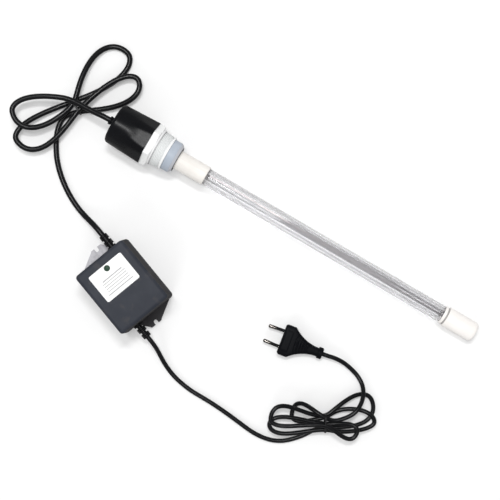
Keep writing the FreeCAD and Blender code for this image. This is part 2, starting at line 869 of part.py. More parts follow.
def ballast_cover():
    """The deep cover, closed from beneath by four screws into its columns."""
    length = f"BoxLength - {COVER_SHRINK}"
    width = f"BoxWidth - {COVER_SHRINK}"
    height = "BoxHeight - TrayHeight"
    cover = drafted_block("cover", length, width, "TrayHeight", height)
    rounded(cover, "BoxCorner", lambda edge: edge.BoundBox.ZMax > value("BoxHeight") - 0.01)
    room = f"{height} - BoxWall"
    hollow(cover, f"{length} - 2*BoxWall", f"{width} - 2*BoxWall", "TrayHeight", room)
    columns = [
        post(f"cover_column_{n}", "ScrewBossRadius", f"{room} + BoxWall/4", x, y, "TrayHeight")
        for n, x, y in screw_places()
    ]
    pilot = f"{HEAD_SEAT} + ScrewLength + ScrewTipRoom - TrayHeight"
    holes = [gland_hole("cover_lamp_hole", "-"), gland_hole("cover_mains_hole", "")]
    holes += [
        post(f"cover_pilot_{n}", "ScrewRadius + ScrewFit", pilot, x, y, "TrayHeight")
        for n, x, y in screw_places()
    ]
    holes.append(post("cover_lens_hole", "LensRadius + LensFit", "2*BoxWall", "LensX", "LensY",
                      "BoxHeight - 1.5*BoxWall"))
    keep("ballast_cover", cut("cover_cut", join("cover_whole", [cover] + columns), holes), BALLAST)


def cover_screws():
    """Four screws from beneath, their heads sunk in the tray."""
    screws = []
    for n, x, y in screw_places():
        head = post(f"screw_{n}_head", "ScrewHeadRadius", "ScrewHeadHeight", x, y, "ScrewHeadRecess")
        shank = post(f"screw_{n}_shank", "ScrewRadius", "ScrewLength", x, y, HEAD_SEAT)
        screws.append(join(f"screw_{n}", [head, shank]))
    keep("cover_screws", group("screws", screws), BALLAST)


def rating_label():
    """The blank label on the cover, with a hole for the lens."""
    outline = [(f"LabelX + ({x})", f"LabelY + ({y})") for x, y in rectangle("LabelLength", "LabelWidth")]
    sheet_of_film = flat_plate("label", outline, "BoxHeight", "LabelThickness")
    rounded(sheet_of_film, "LabelCorner", upright)
    hole = post("label_hole", "LensRadius + LensFit", "LabelThickness", "LensX", "LensY", "BoxHeight")
    keep("rating_label", cut("label_cut", sheet_of_film, [hole]), BALLAST)


LENS_SEAT = "BoxHeight - BoxWall"


def indicator_lens():
    """The small green lens, held by its flange under the cover."""
    rise = "BoxWall + LabelThickness + LensRise"
    barrel = post("lens_barrel", "LensRadius", rise, "LensX", "LensY", LENS_SEAT)
    flange = post("lens_flange", "LensFlangeRadius", "LensFlangeHeight", "LensX", "LensY",
                  f"{LENS_SEAT} - LensFlangeHeight")
    keep("indicator_lens", join("lens", [barrel, flange]), BALLAST)


def indicator_diode():
    """The light-emitting diode under the lens, on two long legs from the board."""
    foot = f"{LENS_SEAT} - LensFlangeHeight - SlidingFit - DiodeHeight"
    bulb = post("diode_bulb", "DiodeRadius", "DiodeHeight", "LensX", "LensY", foot)
    legs = [
        post(f"diode_leg_{n}", "DiodeLegRadius", f"{foot} - ({BOARD_TOP})", "LensX",
             f"LensY {sign} DiodeRadius/2", BOARD_TOP)
        for n, sign in enumerate("-+")
    ]
    keep("indicator_diode", join("diode", [bulb] + legs), BALLAST)


def circuit_board():
    """The board on its two posts, clear of the tray's screw bosses."""
    board = block("board", "BoardLength", "BoardWidth", "BoardThickness", "0", "0", "BoxWall + BoardLift")
    holes = [
        post(f"board_hole_{n}", "BoardScrewRadius + ScrewFit", "BoardThickness", x, y, "BoxWall + BoardLift")
        for n, x, y in board_post_places()
    ]
    holes += [
        post(f"board_notch_{n}", "ScrewBossRadius + BossClearance", "BoardThickness", x, y,
             "BoxWall + BoardLift")
        for n, x, y in screw_places()
    ]
    keep("circuit_board", cut("board_cut", board, holes), BALLAST)


def board_screws():
    """Two screws that hold the board down."""
    screws = []
    for n, x, y in board_post_places():
        head = post(f"board_screw_{n}_head", "BoardScrewHead", "BoardScrewHeadHeight", x, y, BOARD_TOP)
        length = "BoardThickness + BoardLift - ScrewFit"
        shank = post(f"board_screw_{n}_shank", "BoardScrewRadius", length, x, y, "BoxWall + ScrewFit")
        screws.append(join(f"board_screw_{n}", [head, shank]))
    keep("board_screws", group("board_screw_pair", screws), BALLAST)


def choke_core():
    """The choke's closed core with a middle limb."""
    frame = block("choke_frame", "ChokeLength", "ChokeDepth", "ChokeHeight", "0", "ChokeY", BOARD_TOP)
    window = "(ChokeLength - ChokeLimb - 2*ChokeYoke)/2"
    windows = [
        block(f"choke_window_{n}", window, "ChokeDepth", "ChokeHeight - 2*ChokeYoke",
              f"{sign}(ChokeLimb + {window})/2", "ChokeY", f"{BOARD_TOP} + ChokeYoke")
        for n, sign in enumerate(("-", ""))
    ]
    keep("choke_core", cut("choke_core_cut", frame, windows), BALLAST)


def choke_winding():
    """The winding round the choke's middle limb."""
    height = "ChokeHeight - 2*ChokeYoke - 2*WindingFit"
    foot = f"{BOARD_TOP} + ChokeYoke + WindingFit"
    outside = block("winding_outside", "ChokeLength - 2*ChokeYoke - 2*WindingFit",
                    "ChokeDepth + 2*WindingOverhang", height, "0", "ChokeY", foot)
    limb = block("winding_hole", "ChokeLimb + 2*WindingFit", "ChokeDepth + 2*WindingFit", height,
                 "0", "ChokeY", foot)
    keep("choke_winding", cut("winding_cut", outside, [limb]), BALLAST)


def bulk_capacitor():
    """The large capacitor, lying on the board."""
    can = rod("bulk_can", "BulkRadius", "BulkLength", "BulkX - BulkLength/2", "BulkY",
              f"{BOARD_TOP} + BulkRadius")
    keep("bulk_capacitor", can, BALLAST)


def film_capacitor():
    """The box-shaped film capacitor."""
    box = block("film_box", "FilmLength", "FilmDepth", "FilmHeight", "FilmX", "FilmY", BOARD_TOP)
    keep("film_capacitor", box, BALLAST)


def power_transistors():
    """Two upright transistors."""
    pair = [
        block(f"transistor_{n}", "TransistorLength", "TransistorDepth", "TransistorHeight",
              "TransistorX", f"TransistorY + {n}*TransistorPitch", BOARD_TOP)
        for n in range(2)
    ]
    keep("power_transistors", group("transistor_pair", pair), BALLAST)


def rectifier_diodes():
    """Four small diodes in a row."""
    along_y = Rotation(Vector(1, 0, 0), -90)
    row_of_four = [
        rod(f"rectifier_{n}", "DiodePackRadius", "DiodePackLength", f"DiodePackX + {n}*DiodePackPitch",
            "DiodePackY - DiodePackLength/2", f"{BOARD_TOP} + DiodePackRadius", along_y)
        for n in range(4)
    ]
    keep("rectifier_diodes", group("rectifier_row", row_of_four), BALLAST)


def fuse():
    """The fuse with its two end caps."""
    height = f"{BOARD_TOP} + FuseCapRadius"
    body = rod("fuse_body", "FuseRadius", "FuseLength", "FuseX - FuseLength/2", "FuseY", height)
    caps = [
        rod(f"fuse_cap_{n}", "FuseCapRadius", "FuseCapLength", start, "FuseY", height)
        for n, start in enumerate(("FuseX - FuseLength/2", "FuseX + FuseLength/2 - FuseCapLength"))
    ]
    keep("fuse", join("fuse_whole", [body] + caps), BALLAST)


def terminal_block(node, sign):
    """A block on the board that clamps the cores of one cord."""
    offset = "GlandOffset" if sign else "-GlandOffset"
    body = block(f"{node}_body", "TerminalLength", "TerminalWidth", "TerminalHeight",
                 f"{sign}TerminalX", offset, BOARD_TOP)
    keep(node, body, BALLAST)


GLAND_INNER = "BoxLength/2 - GlandNeckLength - GlandFlangeLength"


def cord_cores(node, sign, places):
    """The cores of a cord between its gland and its terminal block."""
    face = "TerminalX + TerminalLength/2"
    length = f"{GLAND_INNER} - ({face})"
    start = f"-({GLAND_INNER})" if sign else face
    offset = "GlandOffset" if sign else "-GlandOffset"
    cores = [
        rod(f"{node}_{n}", "WireRadius", length, start, f"{offset} + {y}", f"GlandHeight + {z}")
        for n, (y, z) in enumerate(places)
    ]
    keep(node, group(f"{node}_bundle", cores), BALLAST)


def gland_frame(sign):
    """A gland's own frame: on the wall, X pointing out of the box."""
    out = 180 if sign else 0
    side = 1 if sign else -1
    place_on_wall = Vector(-side * value("BoxLength/2"), side * value("GlandOffset"), value("GlandHeight"))
    return BALLAST.multiply(Placement(place_on_wall, Rotation(Vector(0, 0, 1), out)))


def gland_windows(node):
    """Slots that leave two webs beside the cord, by turns upright and level."""
    slots = []
    width = "2*GlandRadius"
    half = "(GlandRadius - GlandWeb/2)"
    middle = "(GlandRadius + GlandWeb/2)/2"
    for n in range(GLAND_WINDOWS):
        x = f"WindowStart + {n}*WindowPitch + WindowLength/2"
        for side in ("-", ""):
            name = f"{node}_window_{n}_{'low' if side else 'high'}"
            if n % 2:
                slots.append(block(name, "WindowLength", half, width, x, f"{side}{middle}", "-GlandRadius"))
            else:
                foot = "-GlandRadius" if side else "GlandWeb/2"
                slots.append(block(name, "WindowLength", width, half, x, "0", foot))
    return slots


def cord_gland(node, sign, diameter):
    """A ribbed cord gland, moulded on the cord and trapped between the tray and the cover."""
    sleeve = rod(f"{node}_sleeve", "GlandRadius", "GlandLength")
    ribbed = cut(f"{node}_ribs", sleeve, gland_windows(node))
    neck = rod(f"{node}_neck", "GlandNeckRadius", "GlandNeckLength", "-GlandNeckLength")
    flange = rod(f"{node}_flange", "GlandFlangeRadius", "GlandFlangeLength",
                 "-GlandNeckLength - GlandFlangeLength")
    jacket = rod(f"{node}_jacket", f"{diameter}/2 + GlandWall", "GlandLength")
    keep(node, join(f"{node}_whole", [ribbed, neck, flange, jacket]), gland_frame(sign))


def ballast_pieces():
    """The ballast box and everything in it."""
    ballast_base()
    ballast_cover()
    cover_screws()
    rating_label()
    indicator_lens()
    indicator_diode()
    circuit_board()
    board_screws()
    choke_core()
    choke_winding()
    bulk_capacitor()
    film_capacitor()
    power_transistors()
    rectifier_diodes()
    fuse()
    terminal_block("lamp_terminals", "-")
    terminal_block("mains_terminals", "")
    square = [(f"{a}CoreOffset", f"{b}CoreOffset") for a in ("-1*", "") for b in ("-1*", "")]
    cord_cores("lamp_cord_cores", "-", square)
    cord_cores("mains_cord_cores", "", [("-1*CoreOffset", "0"), ("CoreOffset", "0")])
    cord_gland("lamp_cord_gland", "-", "LeadDiameter")
    cord_gland("mains_cord_gland", "", "MainsDiameter")


# Mains plug

PIN_SLANT = "(MainsPinSpacing - MainsPinSpacingAtTip)/2"


def slanted(thing, side):
    """Sets a pin, or what belongs to it, in the plug's face, leaning in towards its tip."""
    lean = math.degrees(math.asin(value(PIN_SLANT) / value("MainsPinLength")))
    turn = Rotation(Vector(0, 0, 1), side * lean)
    thing.Placement = Placement(Vector(0, side * value("MainsPinSpacing / 2"), 0), turn)
    return thing


def plug_body():
    """The flat moulded head, drawn in by two hollow flanks to a round collar on the cord."""
    slab = doc.addObject("PartDesign::Body", "plug_slab")
    pad = slab.newObject("PartDesign::Pad", "plug_slab_pad")
    outline = [(f"PlugFlareEnd/2 + ({x})", y) for x, y in rectangle("PlugFlareEnd", "PlugWidth")]
    pad.Profile = new_sketch(slab, "plug_slab_plan", "XY_Plane", outline, "-PlugThickness/2")
    pad.Length = value("PlugThickness")
    pad.setExpression("Length", bound("PlugThickness"))
    slab.Tip = pad
    doc.recompute()
    rounded(slab, "PlugRounding", lambda edge: True)
    drawn_in = "((PlugWidth - PlugNeckWidth)/2)"
    flank = f"(({drawn_in}^2 + (PlugFlareEnd - PlugHeadLength)^2) / (2*{drawn_in}))"
    cuts = [
        post(f"plug_flank_{n}", flank, "2*PlugThickness", "PlugFlareEnd",
             f"{sign}(PlugNeckWidth/2 + {flank})", "-PlugThickness")
        for n, sign in enumerate(("-", ""))
    ]
    for groove in range(PLUG_GROOVES):
        x = f"PlugHeadLength + PlugGrooveStart + {groove}*PlugGroovePitch"
        for level, foot in (("top", "PlugThickness/2 - PlugGrooveDepth"), ("foot", "-PlugThickness/2")):
            cuts.append(block(f"plug_groove_{groove}_{level}", "PlugGrooveWidth", "PlugWidth",
                              "PlugGrooveDepth", x, "0", foot))
    cuts.append(block("plug_pocket", "BridgeDepth + SleeveFit", "BridgeWidth + 2*SleeveFit",
                      "BridgeThickness + 2*SleeveFit", "(BridgeDepth + SleeveFit)/2", "0",
                      "-BridgeThickness/2 - SleeveFit"))
    collar = rod("plug_collar", "PlugRingRadius", "PlugLength - PlugFlareEnd + PlugCollarRoot",
                 "PlugFlareEnd - PlugCollarRoot")
    keep("plug_body", join("plug_whole", [cut("plug_cuts", slab, cuts), collar]), PLUG)


def plug_bridge():
    """The hard bridge in the plug's face that holds both pins."""
    bridge = block("bridge", "BridgeDepth", "BridgeWidth", "BridgeThickness", "BridgeDepth/2", "0",
                   "-BridgeThickness/2")
    holes = []
    for side in (-1, 1):
        name = f"bridge_hole_{side + 1}"
        outline = [("-1", "0"), ("-1", "MainsPinCore + SleeveFit"),
                   ("MainsPinRoot", "MainsPinCore + SleeveFit"), ("MainsPinRoot", "0")]
        holes.append(slanted(turned(name, outline), side))
    keep("plug_bridge", cut("bridge_cut", bridge, holes), PLUG)


def plug_pins():
    """Two round pins that lean towards each other, thinner where the sleeve sits."""
    outline = [
        ("-MainsPinLength", "0"),
        ("-MainsPinLength", "MainsPinRadius - MainsPinTip"),
        ("-MainsPinLength + MainsPinTip", "MainsPinRadius"),
        ("-SleeveLength", "MainsPinRadius"),
        ("-SleeveLength", "MainsPinCore"),
        ("MainsPinRoot", "MainsPinCore"),
        ("MainsPinRoot", "0"),
    ]
    pins = [slanted(turned(f"mains_pin_{side + 1}", outline), side) for side in (-1, 1)]
    keep("plug_pins", group("mains_pins", pins), PLUG)


def pin_sleeves():
    """The insulating sleeves on the pins."""
    outline = ring_outline("SleeveRadius", "MainsPinCore + SleeveFit", "-SleeveLength", "-2*SleeveFit")
    sleeves = [slanted(turned(f"sleeve_{side + 1}", outline), side) for side in (-1, 1)]
    keep("pin_sleeves", group("sleeves", sleeves), PLUG)


# Cords

def shape_feature(name, shape):
    """A document object around a shape that no primitive or sketch makes."""
    feature = doc.addObject("Part::Feature", name)
    feature.Shape = shape
    return feature


def corner_arc(before, corner, after):
    """The tangent points, middle and radius of the arc that rounds a corner of a route."""
    back = before - corner
    ahead = after - corner
    shorter = min(back.Length, ahead.Length)
    turn = math.pi - back.getAngle(ahead)
    radius = 0.45 * shorter / math.tan(turn / 2)
    back.normalize()
    ahead.normalize()
    middle_way = back + ahead
    middle_way.normalize()
    reach = 0.45 * shorter
    gap = radius / math.cos(turn / 2) - radius
    return corner + back * reach, corner + middle_way * gap, corner + ahead * reach, radius


def cord_wire(route):
    """Straight runs along a route, joined by tangent arcs as large as the runs allow."""
    edges = []
    radii = []
    start = route[0]
    for before, corner, after in zip(route, route[1:], route[2:]):
        entry, middle, leave, radius = corner_arc(before, corner, after)
        edges.append(Part.LineSegment(start, entry).toShape())
        edges.append(Part.Arc(entry, middle, leave).toShape())
        radii.append(radius)
        start = leave
    edges.append(Part.LineSegment(start, route[-1]).toShape())
    return Part.Wire(edges), radii


def swept(wire, start, heading, radius):
    """A solid tube of a round section along a wire."""
    section = Part.Wire([Part.makeCircle(radius, start, heading)])
    return wire.makePipeShell([section], True, False)


def cord_tube(route, radius):
    """A tube along a route of straight runs and arcs."""
    wire, radii = cord_wire(route)
    tube = swept(wire, route[0], route[1] - route[0], radius)
    expected = math.pi * radius ** 2 * wire.Length
    if abs(tube.Volume / expected - 1) > 0.02:
        raise RuntimeError("a cord's volume is not its section times its length")
    return tube


def free_cord(node, route, diameter):
    """A free stretch of cord, with its length and its arcs' radii printed."""
    wire, radii = cord_wire(route)
    print(f"{node}: length {wire.Length:.0f}, radii {', '.join(f'{r:.0f}' for r in radii)}")
    keep(node, shape_feature(f"{node}_tube", cord_tube(route, diameter / 2)))


def smooth_step(share):
    """Eases from 0 to 1."""
    share = min(1.0, max(0.0, share))
    return share * share * (3 - 2 * share)


LOOP_STEPS = 12
KNOT_STEP = 3
CLIMB_START = 0.04
CLIMB_SHARE = 0.34


def pass_point(hank, number):
    """Where the cord passes the waist of a hank for the n-th time."""
    across, level = hank["passes"][number]
    heading = math.radians(hank["heading"])
    x, y, z = hank["waist"]
    shift = across * hank["pitch"]
    return Vector(x - math.sin(heading) * shift, y + math.cos(heading) * shift, z + level * hank["rise"])


def loop_points(hank, number):
    """The points of one loop, a drop-shaped curve between two passes of the waist."""
    reach, bearing, out_width, back_width, pinch, level = hank["loops"][number]
    start = pass_point(hank, number)
    end = pass_point(hank, number + 1)
    top = hank["waist"][2] + level * hank["rise"]
    bearing = math.radians(bearing)
    widest = math.atan(1 / math.sqrt(1 + pinch))
    peak = math.sin(2 * widest) * math.cos(widest) ** pinch
    points = []
    for step in range(1, LOOP_STEPS):
        share = step / LOOP_STEPS
        angle = math.pi * (share - 0.5)
        along = reach * math.cos(angle)
        width = out_width if angle < 0 else back_width
        aside = width * abs(math.sin(2 * angle)) * math.cos(angle) ** pinch / peak
        if share < 0.5:
            height = start.z + (top - start.z) * smooth_step((share - CLIMB_START) / CLIMB_SHARE)
        else:
            height = end.z + (top - end.z) * smooth_step((1 - CLIMB_START - share) / CLIMB_SHARE)
        x = start.x + (end.x - start.x) * share + along * math.cos(bearing) - aside * math.sin(bearing)
        y = start.y + (end.y - start.y) * share + along * math.sin(bearing) + aside * math.cos(bearing)
        points.append(Vector(x, y, height))
    return points


def hank_route(hank):
    """The route of a hank: the way in, the loops between the passes, the way out."""
    points = list(hank["entry"])
    for number in range(len(hank["loops"])):
        points.append(pass_point(hank, number))
        points += loop_points(hank, number)
    points.append(pass_point(hank, len(hank["loops"])))
    return points + list(hank["leave"])


def hank_knots(hank, before, after):
    """Points of the route and the cord's direction there, a quarter turn apart in the loops."""
    points = [before] + hank_route(hank) + [after]
    first = len(hank["entry"]) + 1
    last = first + LOOP_STEPS * len(hank["loops"])
    final = len(points) - 2
    chosen = list(range(1, first))
    chosen += range(first, last + 1, KNOT_STEP)
    chosen += range(last + 1, final + 1)
    knots = []
    for index in chosen:
        back = points[index] if index == final else points[index - 1]
        ahead = points[index] if index == 1 else points[index + 1]
        heading = ahead - back
        heading.normalize()
        knots.append((points[index], heading))
    return knots


def towards(start, aim, distance):
    """The point at a distance from a start towards an aim."""
    way = aim - start
    way.normalize()
    return start + way * distance


def arc_from(start, heading, end):
    """An arc from a point, along a heading, to an end point, and its radius."""
    chord = end - start
    half = chord.Length / 2
    along = Vector(chord)
    along.normalize()
    aside = heading - along * heading.dot(along)
    if aside.Length < 1e-6:
        return Part.LineSegment(start, end).toShape(), 1e6
    angle = heading.getAngle(along)
    aside.normalize()
    middle = start + chord * 0.5 + aside * (half * math.tan(angle / 2))
    return Part.Arc(start, middle, end).toShape(), half / math.sin(angle)


def biarc(first, second):
    """Two tangent arcs between two knots."""
    (start, leaving), (end, arriving) = first, second
    chord = end - start
    both = leaving + arriving
    spread = 2 * (1 - leaving.dot(arriving))
    if spread < 1e-9:
        reach = chord.dot(chord) / (4 * chord.dot(arriving))
    else:
        product = chord.dot(both)
        reach = (math.sqrt(product ** 2 + spread * chord.dot(chord)) - product) / spread
    joint = (start + end + (leaving - arriving) * reach) * 0.5
    one, radius_one = arc_from(start, leaving, joint)
    way_back = arriving * -1
    two, radius_two = arc_from(end, way_back, joint)
    two.reverse()
    return [one, two], [radius_one, radius_two]


def least_gap(wire, diameter):
    """The least clear distance between parts of a wound tube, measured on points."""
    count = int(wire.Length / 2)
    points = wire.discretize(Number=count)
    step = wire.Length / (count - 1)
    apart = int(4.5 * diameter / step)
    nearest = min(
        points[i].distanceToPoint(points[j])
        for i in range(count)
        for j in range(i + apart, count)
    )
    return nearest - diameter


def hank_of_cord(node, hank, before, after, diameter):
    """The loops of a hank as one unbroken tube on biarcs. Its ends run straight for one diameter,
    in line with the free stretches, and are given back."""
    knots = hank_knots(hank, before, after)
    start = towards(knots[0][0], before, diameter)
    finish = towards(knots[-1][0], after, diameter)
    edges = [Part.LineSegment(start, knots[0][0]).toShape()]
    radii = []
    for first, second in zip(knots, knots[1:]):
        pair, pair_radii = biarc(first, second)
        edges += pair
        radii += pair_radii
    edges.append(Part.LineSegment(knots[-1][0], finish).toShape())
    wire = Part.Wire(edges)
    gap = least_gap(wire, diameter)
    print(f"{node}: length {wire.Length:.0f}, least radius {min(radii):.1f}, least gap {gap:.2f}")
    tube = swept(wire, start, knots[0][1], diameter / 2)
    expected = math.pi * (diameter / 2) ** 2 * wire.Length
    if abs(tube.Volume / expected - 1) > 0.02:
        raise RuntimeError("a hank's volume is not its section times its length")
    keep(node, shape_feature(f"{node}_tube", tube))
    return start, finish


def hull(points):
    """The convex outline of points in a plane."""
    points = sorted(set(points))
    sides = []
    for ordered in (points, points[::-1]):
        side = []
        for point in ordered:
            while len(side) > 1:
                (ax, ay), (bx, by) = side[-2], side[-1]
                if (bx - ax) * (point[1] - ay) - (by - ay) * (point[0] - ax) > 0:
                    break
                side.pop()
            side.append(point)
        sides += side[:-1]
    return sides


def cord_tie(node, hank, held, diameter):
    """A strap round the strands that pass a hank's waist."""
    places = [(across * hank["pitch"], level * hank["rise"]) for across, level in held]
    outline = [Vector(0, across, height) for across, height in hull(places)]
    loop = Part.makePolygon(outline + outline[:1])
    inner_reach = diameter / 2 + value("TieFit")
    inner = loop.makeOffset2D(inner_reach)
    outer = loop.makeOffset2D(inner_reach + value("TieThickness"))
    width = value("TieWidth")
    strap = Part.Face(outer).cut(Part.Face(inner)).extrude(Vector(width, 0, 0))
    strap.translate(Vector(-width / 2, 0, 0))
    turn = Rotation(Vector(0, 0, 1), hank["heading"])
    keep(node, shape_feature(f"{node}_strap", strap.Solids[0]), Placement(Vector(*hank["waist"]), turn))


# The lamp cord's hank: where its waist is, which way it lies, how far its strands and layers are apart.
# A pass is (place across the waist, layer). A loop is (reach, bearing, width out, width back, pinch, layer).
LEAD_HANK = {
    "waist": (-151.0, 146.5, 4.7),
    "heading": 62.6,
    "pitch": 7.0,
    "rise": 7.2,
    "passes": ((1, 2.1), (0.18, 1), (0.83, 0), (-1, 1), (-1, 0)),
    "loops": (
        (68.3, 220.1, -11.3, 20.5, -0.1, 1.8),
        (83.3, 73.8, 24.2, -15.7, -0.1, -0.18),
        (77.1, 240.3, -8.9, 19.5, 0.0, 0.82),
        (76.0, 57.0, 11.7, -16.1, -0.05, 0.82),
    ),
    "entry": (Vector(-127.6, 150.0, 22.9),),
    "leave": (Vector(-157.2, 129.3, 3.4), Vector(-156.4, 116.1, 3.3), Vector(-152.7, 105.2, 3.1)),
}

# The mains cord's hank, seven strands at its waist
MAINS_HANK = {
    "waist": (271.0, -20.3, 4.1),
    "heading": 30.2,
    "pitch": 6.23,
    "rise": 6.43,
    "passes": ((-1, 0), (1.18, 1), (-0.1, 2.17), (-0.11, 0.86), (-1.05, 1.05), (0.9, 0), (1.15, 2.16)),
    "loops": (
        (58.9, 54.9, -16.0, 10.5, 0.08, -0.19),
        (61.9, 208.1, -14.1, 5.5, 0.79, 2.0),
        (36.4, 18.0, -10.3, 6.3, 0.39, 1.97),
        (63.2, 208.1, -8.1, 8.5, 0.42, 0.92),
        (55.7, 32.5, -5.7, 11.5, -0.48, 0.9),
        (37.6, 207.6, 6.2, -14.5, 0.27, -0.24),
    ),
    "entry": (Vector(256.2, -46.7, 2.6), Vector(261.3, -38.9, 2.9), Vector(265.6, -31.8, 3.4)),
    "leave": (Vector(276.5, -13.1, 15.9), Vector(283.5, -7.4, 15.9)),
}

# Straight runs of the cords out of the boot's nub, the glands and the plug's collar
LEAD_FIRST_RUN = 7.2
LEAD_LAST_RUN = 9.0
MAINS_FIRST_RUN = 8.0
MAINS_LAST_RUN = 6.0

LEAD_TO_BALLAST = (
    Vector(-144.9, 91.6, 3.1),
    Vector(-139.2, 83.6, 3.1),
    Vector(-130.7, 74.3, 3.1),
    Vector(-118.9, 64.2, 3.1),
    Vector(-105.6, 55.4, 3.1),
    Vector(-91.9, 48.6, 3.1),
    Vector(-79.8, 44.6, 4.6),
    Vector(-69.0, 42.3, 9.8),
)

MAINS_TO_HANK = (
    Vector(66.5, -43.4, 11.9),
    Vector(74.3, -49.0, 7.3),
    Vector(84.5, -55.6, 3.2),
    Vector(100.6, -62.1, 2.5),
    Vector(122.5, -65.6, 2.5),
    Vector(142.6, -65.4, 2.5),
    Vector(163.2, -66.5, 2.5),
    Vector(184.2, -68.6, 2.5),
    Vector(205.6, -71.2, 2.5),
    Vector(223.0, -69.9, 2.5),
    Vector(235.5, -65.4, 2.5),
    Vector(245.4, -58.6, 2.6),
)

HANK_TO_PLUG = (
    Vector(291.6, 3.3, 15.9),
    Vector(293.9, 11.0, 15.6),
    Vector(294.3, 19.3, 13.6),
    Vector(292.6, 27.5, 10.8),
    Vector(289.1, 34.3, 7.2),
    Vector(283.6, 39.9, 4.2),
    Vector(275.4, 44.3, 2.5),
    Vector(264.9, 47.3, 3.2),
    Vector(253.8, 49.0, 5.4),
    Vector(243.4, 48.3, 6.85),
)


def mouth_of(frame, length, step):
    """The outer end of a gland or a collar on its own X axis, and a point a step further out."""
    return frame.multVec(Vector(length, 0, 0)), frame.multVec(Vector(length + step, 0, 0))


def lamp_cord():
    """The cord from the lamp's head to the ballast box: free stretch, hank, free stretch."""
    diameter = value("LeadDiameter")
    nub, off_nub = mouth_of(LAMP, -value("BootLength + NubLength"), -LEAD_FIRST_RUN)
    mouth, off_mouth = mouth_of(gland_frame("-"), value("GlandLength"), LEAD_LAST_RUN)
    start, finish = hank_of_cord("lamp_lead_hank", LEAD_HANK, off_nub, LEAD_TO_BALLAST[0], diameter)
    cord_tie("lamp_lead_tie", LEAD_HANK, LEAD_HANK["passes"][1:], diameter)
    free_cord("lamp_lead_a", [nub, off_nub, start], diameter)
    free_cord("lamp_lead_b", [finish] + list(LEAD_TO_BALLAST) + [off_mouth, mouth], diameter)


def mains_cord():
    """The cord from the ballast box to the plug: free stretch, hank, free stretch."""
    diameter = value("MainsDiameter")
    mouth, off_mouth = mouth_of(gland_frame(""), value("GlandLength"), MAINS_FIRST_RUN)
    collar, off_collar = mouth_of(PLUG, value("PlugLength"), MAINS_LAST_RUN)
    before, after = MAINS_TO_HANK[-1], HANK_TO_PLUG[0]
    start, finish = hank_of_cord("mains_lead_hank", MAINS_HANK, before, after, diameter)
    cord_tie("mains_lead_tie", MAINS_HANK, MAINS_HANK["passes"], diameter)
    free_cord("mains_lead_a", [mouth, off_mouth] + list(MAINS_TO_HANK) + [start], diameter)
    free_cord("mains_lead_b", [finish] + list(HANK_TO_PLUG) + [off_collar, collar], diameter)


def check_document():
    """Stops if any object failed or any sub-part's shape is not sound."""
    doc.recompute()
    for thing in doc.Objects:
        if "Invalid" in thing.State or "Error" in thing.State:
            raise RuntimeError(f"{thing.Name}: {thing.State}")
    for part in subparts:
        if part.Shape.isNull() or not part.Shape.isValid():
            raise RuntimeError(f"{part.Label}: the shape is not sound")


def write_parts():
    """Writes each sub-part to a file named after it."""
    os.makedirs("parts", exist_ok=True)
    for part in subparts:
        part.Shape.exportStep(f"parts/{part.Label}.step")
    print(f"{len(subparts)} sub-parts")


rubber_boot()
threaded_plug()
flange_gasket()
cone_seal()
lamp_socket()
socket_contacts()
head_potting()
head_cord_end()
head_wires()
lamp_pieces()
ballast_pieces()
plug_body()
plug_bridge()
plug_pins()
pin_sleeves()
lamp_cord()
mains_cord()
check_document()
write_parts()
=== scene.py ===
"""Looks of a submersible ultraviolet clarifier lamp with its ballast box, cords and mains plug.

Metres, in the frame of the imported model: +X along the lamp from its boot to its far cap, +Z up.
"""

import json
import logging
import math
from dataclasses import dataclass
from enum import Enum
from typing import Callable, Sequence

import bpy
from mathutils import Matrix, Vector


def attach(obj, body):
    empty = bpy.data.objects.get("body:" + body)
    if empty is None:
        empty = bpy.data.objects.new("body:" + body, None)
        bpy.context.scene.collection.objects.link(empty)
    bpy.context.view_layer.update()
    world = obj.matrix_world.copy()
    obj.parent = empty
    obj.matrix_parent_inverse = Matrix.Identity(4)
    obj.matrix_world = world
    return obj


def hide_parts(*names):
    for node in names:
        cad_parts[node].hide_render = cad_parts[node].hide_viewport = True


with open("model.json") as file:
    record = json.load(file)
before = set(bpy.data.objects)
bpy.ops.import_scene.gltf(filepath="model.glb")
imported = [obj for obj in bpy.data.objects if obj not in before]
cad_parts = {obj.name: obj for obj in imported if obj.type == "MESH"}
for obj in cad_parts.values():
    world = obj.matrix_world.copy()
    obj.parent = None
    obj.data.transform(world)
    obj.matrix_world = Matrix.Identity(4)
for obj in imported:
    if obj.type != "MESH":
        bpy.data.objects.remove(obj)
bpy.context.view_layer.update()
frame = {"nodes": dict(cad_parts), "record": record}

log = logging.getLogger("clarifier_lamp")

Pair = tuple[float, float]
Point = tuple[float, float, float]
Colour = tuple[float, float, float]
Piece = bpy.types.Object

TINY = 0.000001
WHITE = (1.0, 1.0, 1.0, 1.0)
QUARTZ_IOR = 1.46
HEAD_HEIGHT = 0.0232
CAP_HEIGHT = 0.0113
LAMP_LEAN = math.atan((HEAD_HEIGHT - CAP_HEIGHT) / (0.4204 - 0.0040))
LAMP_ORIGIN = Vector((-0.056, 0.1515, HEAD_HEIGHT * math.cos(LAMP_LEAN)))
LAMP_FRAME = Matrix.Translation(LAMP_ORIGIN) @ Matrix.Rotation(LAMP_LEAN, 4, "Y")
BALLAST_FRAME = Matrix.Rotation(math.radians(-20.4), 4, "Z")
PLUG_FRAME = Matrix.Translation((0.1812, 0.0371, 0.00685)) @ Matrix.Rotation(math.radians(9.6), 4, "Z")
UPRIGHT = Matrix.Rotation(-math.pi / 2, 4, "Y")


class Body(Enum):
    """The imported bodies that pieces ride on."""

    ROOT = "root"
    LAMP = "lamp"
    SEAL = "seal"


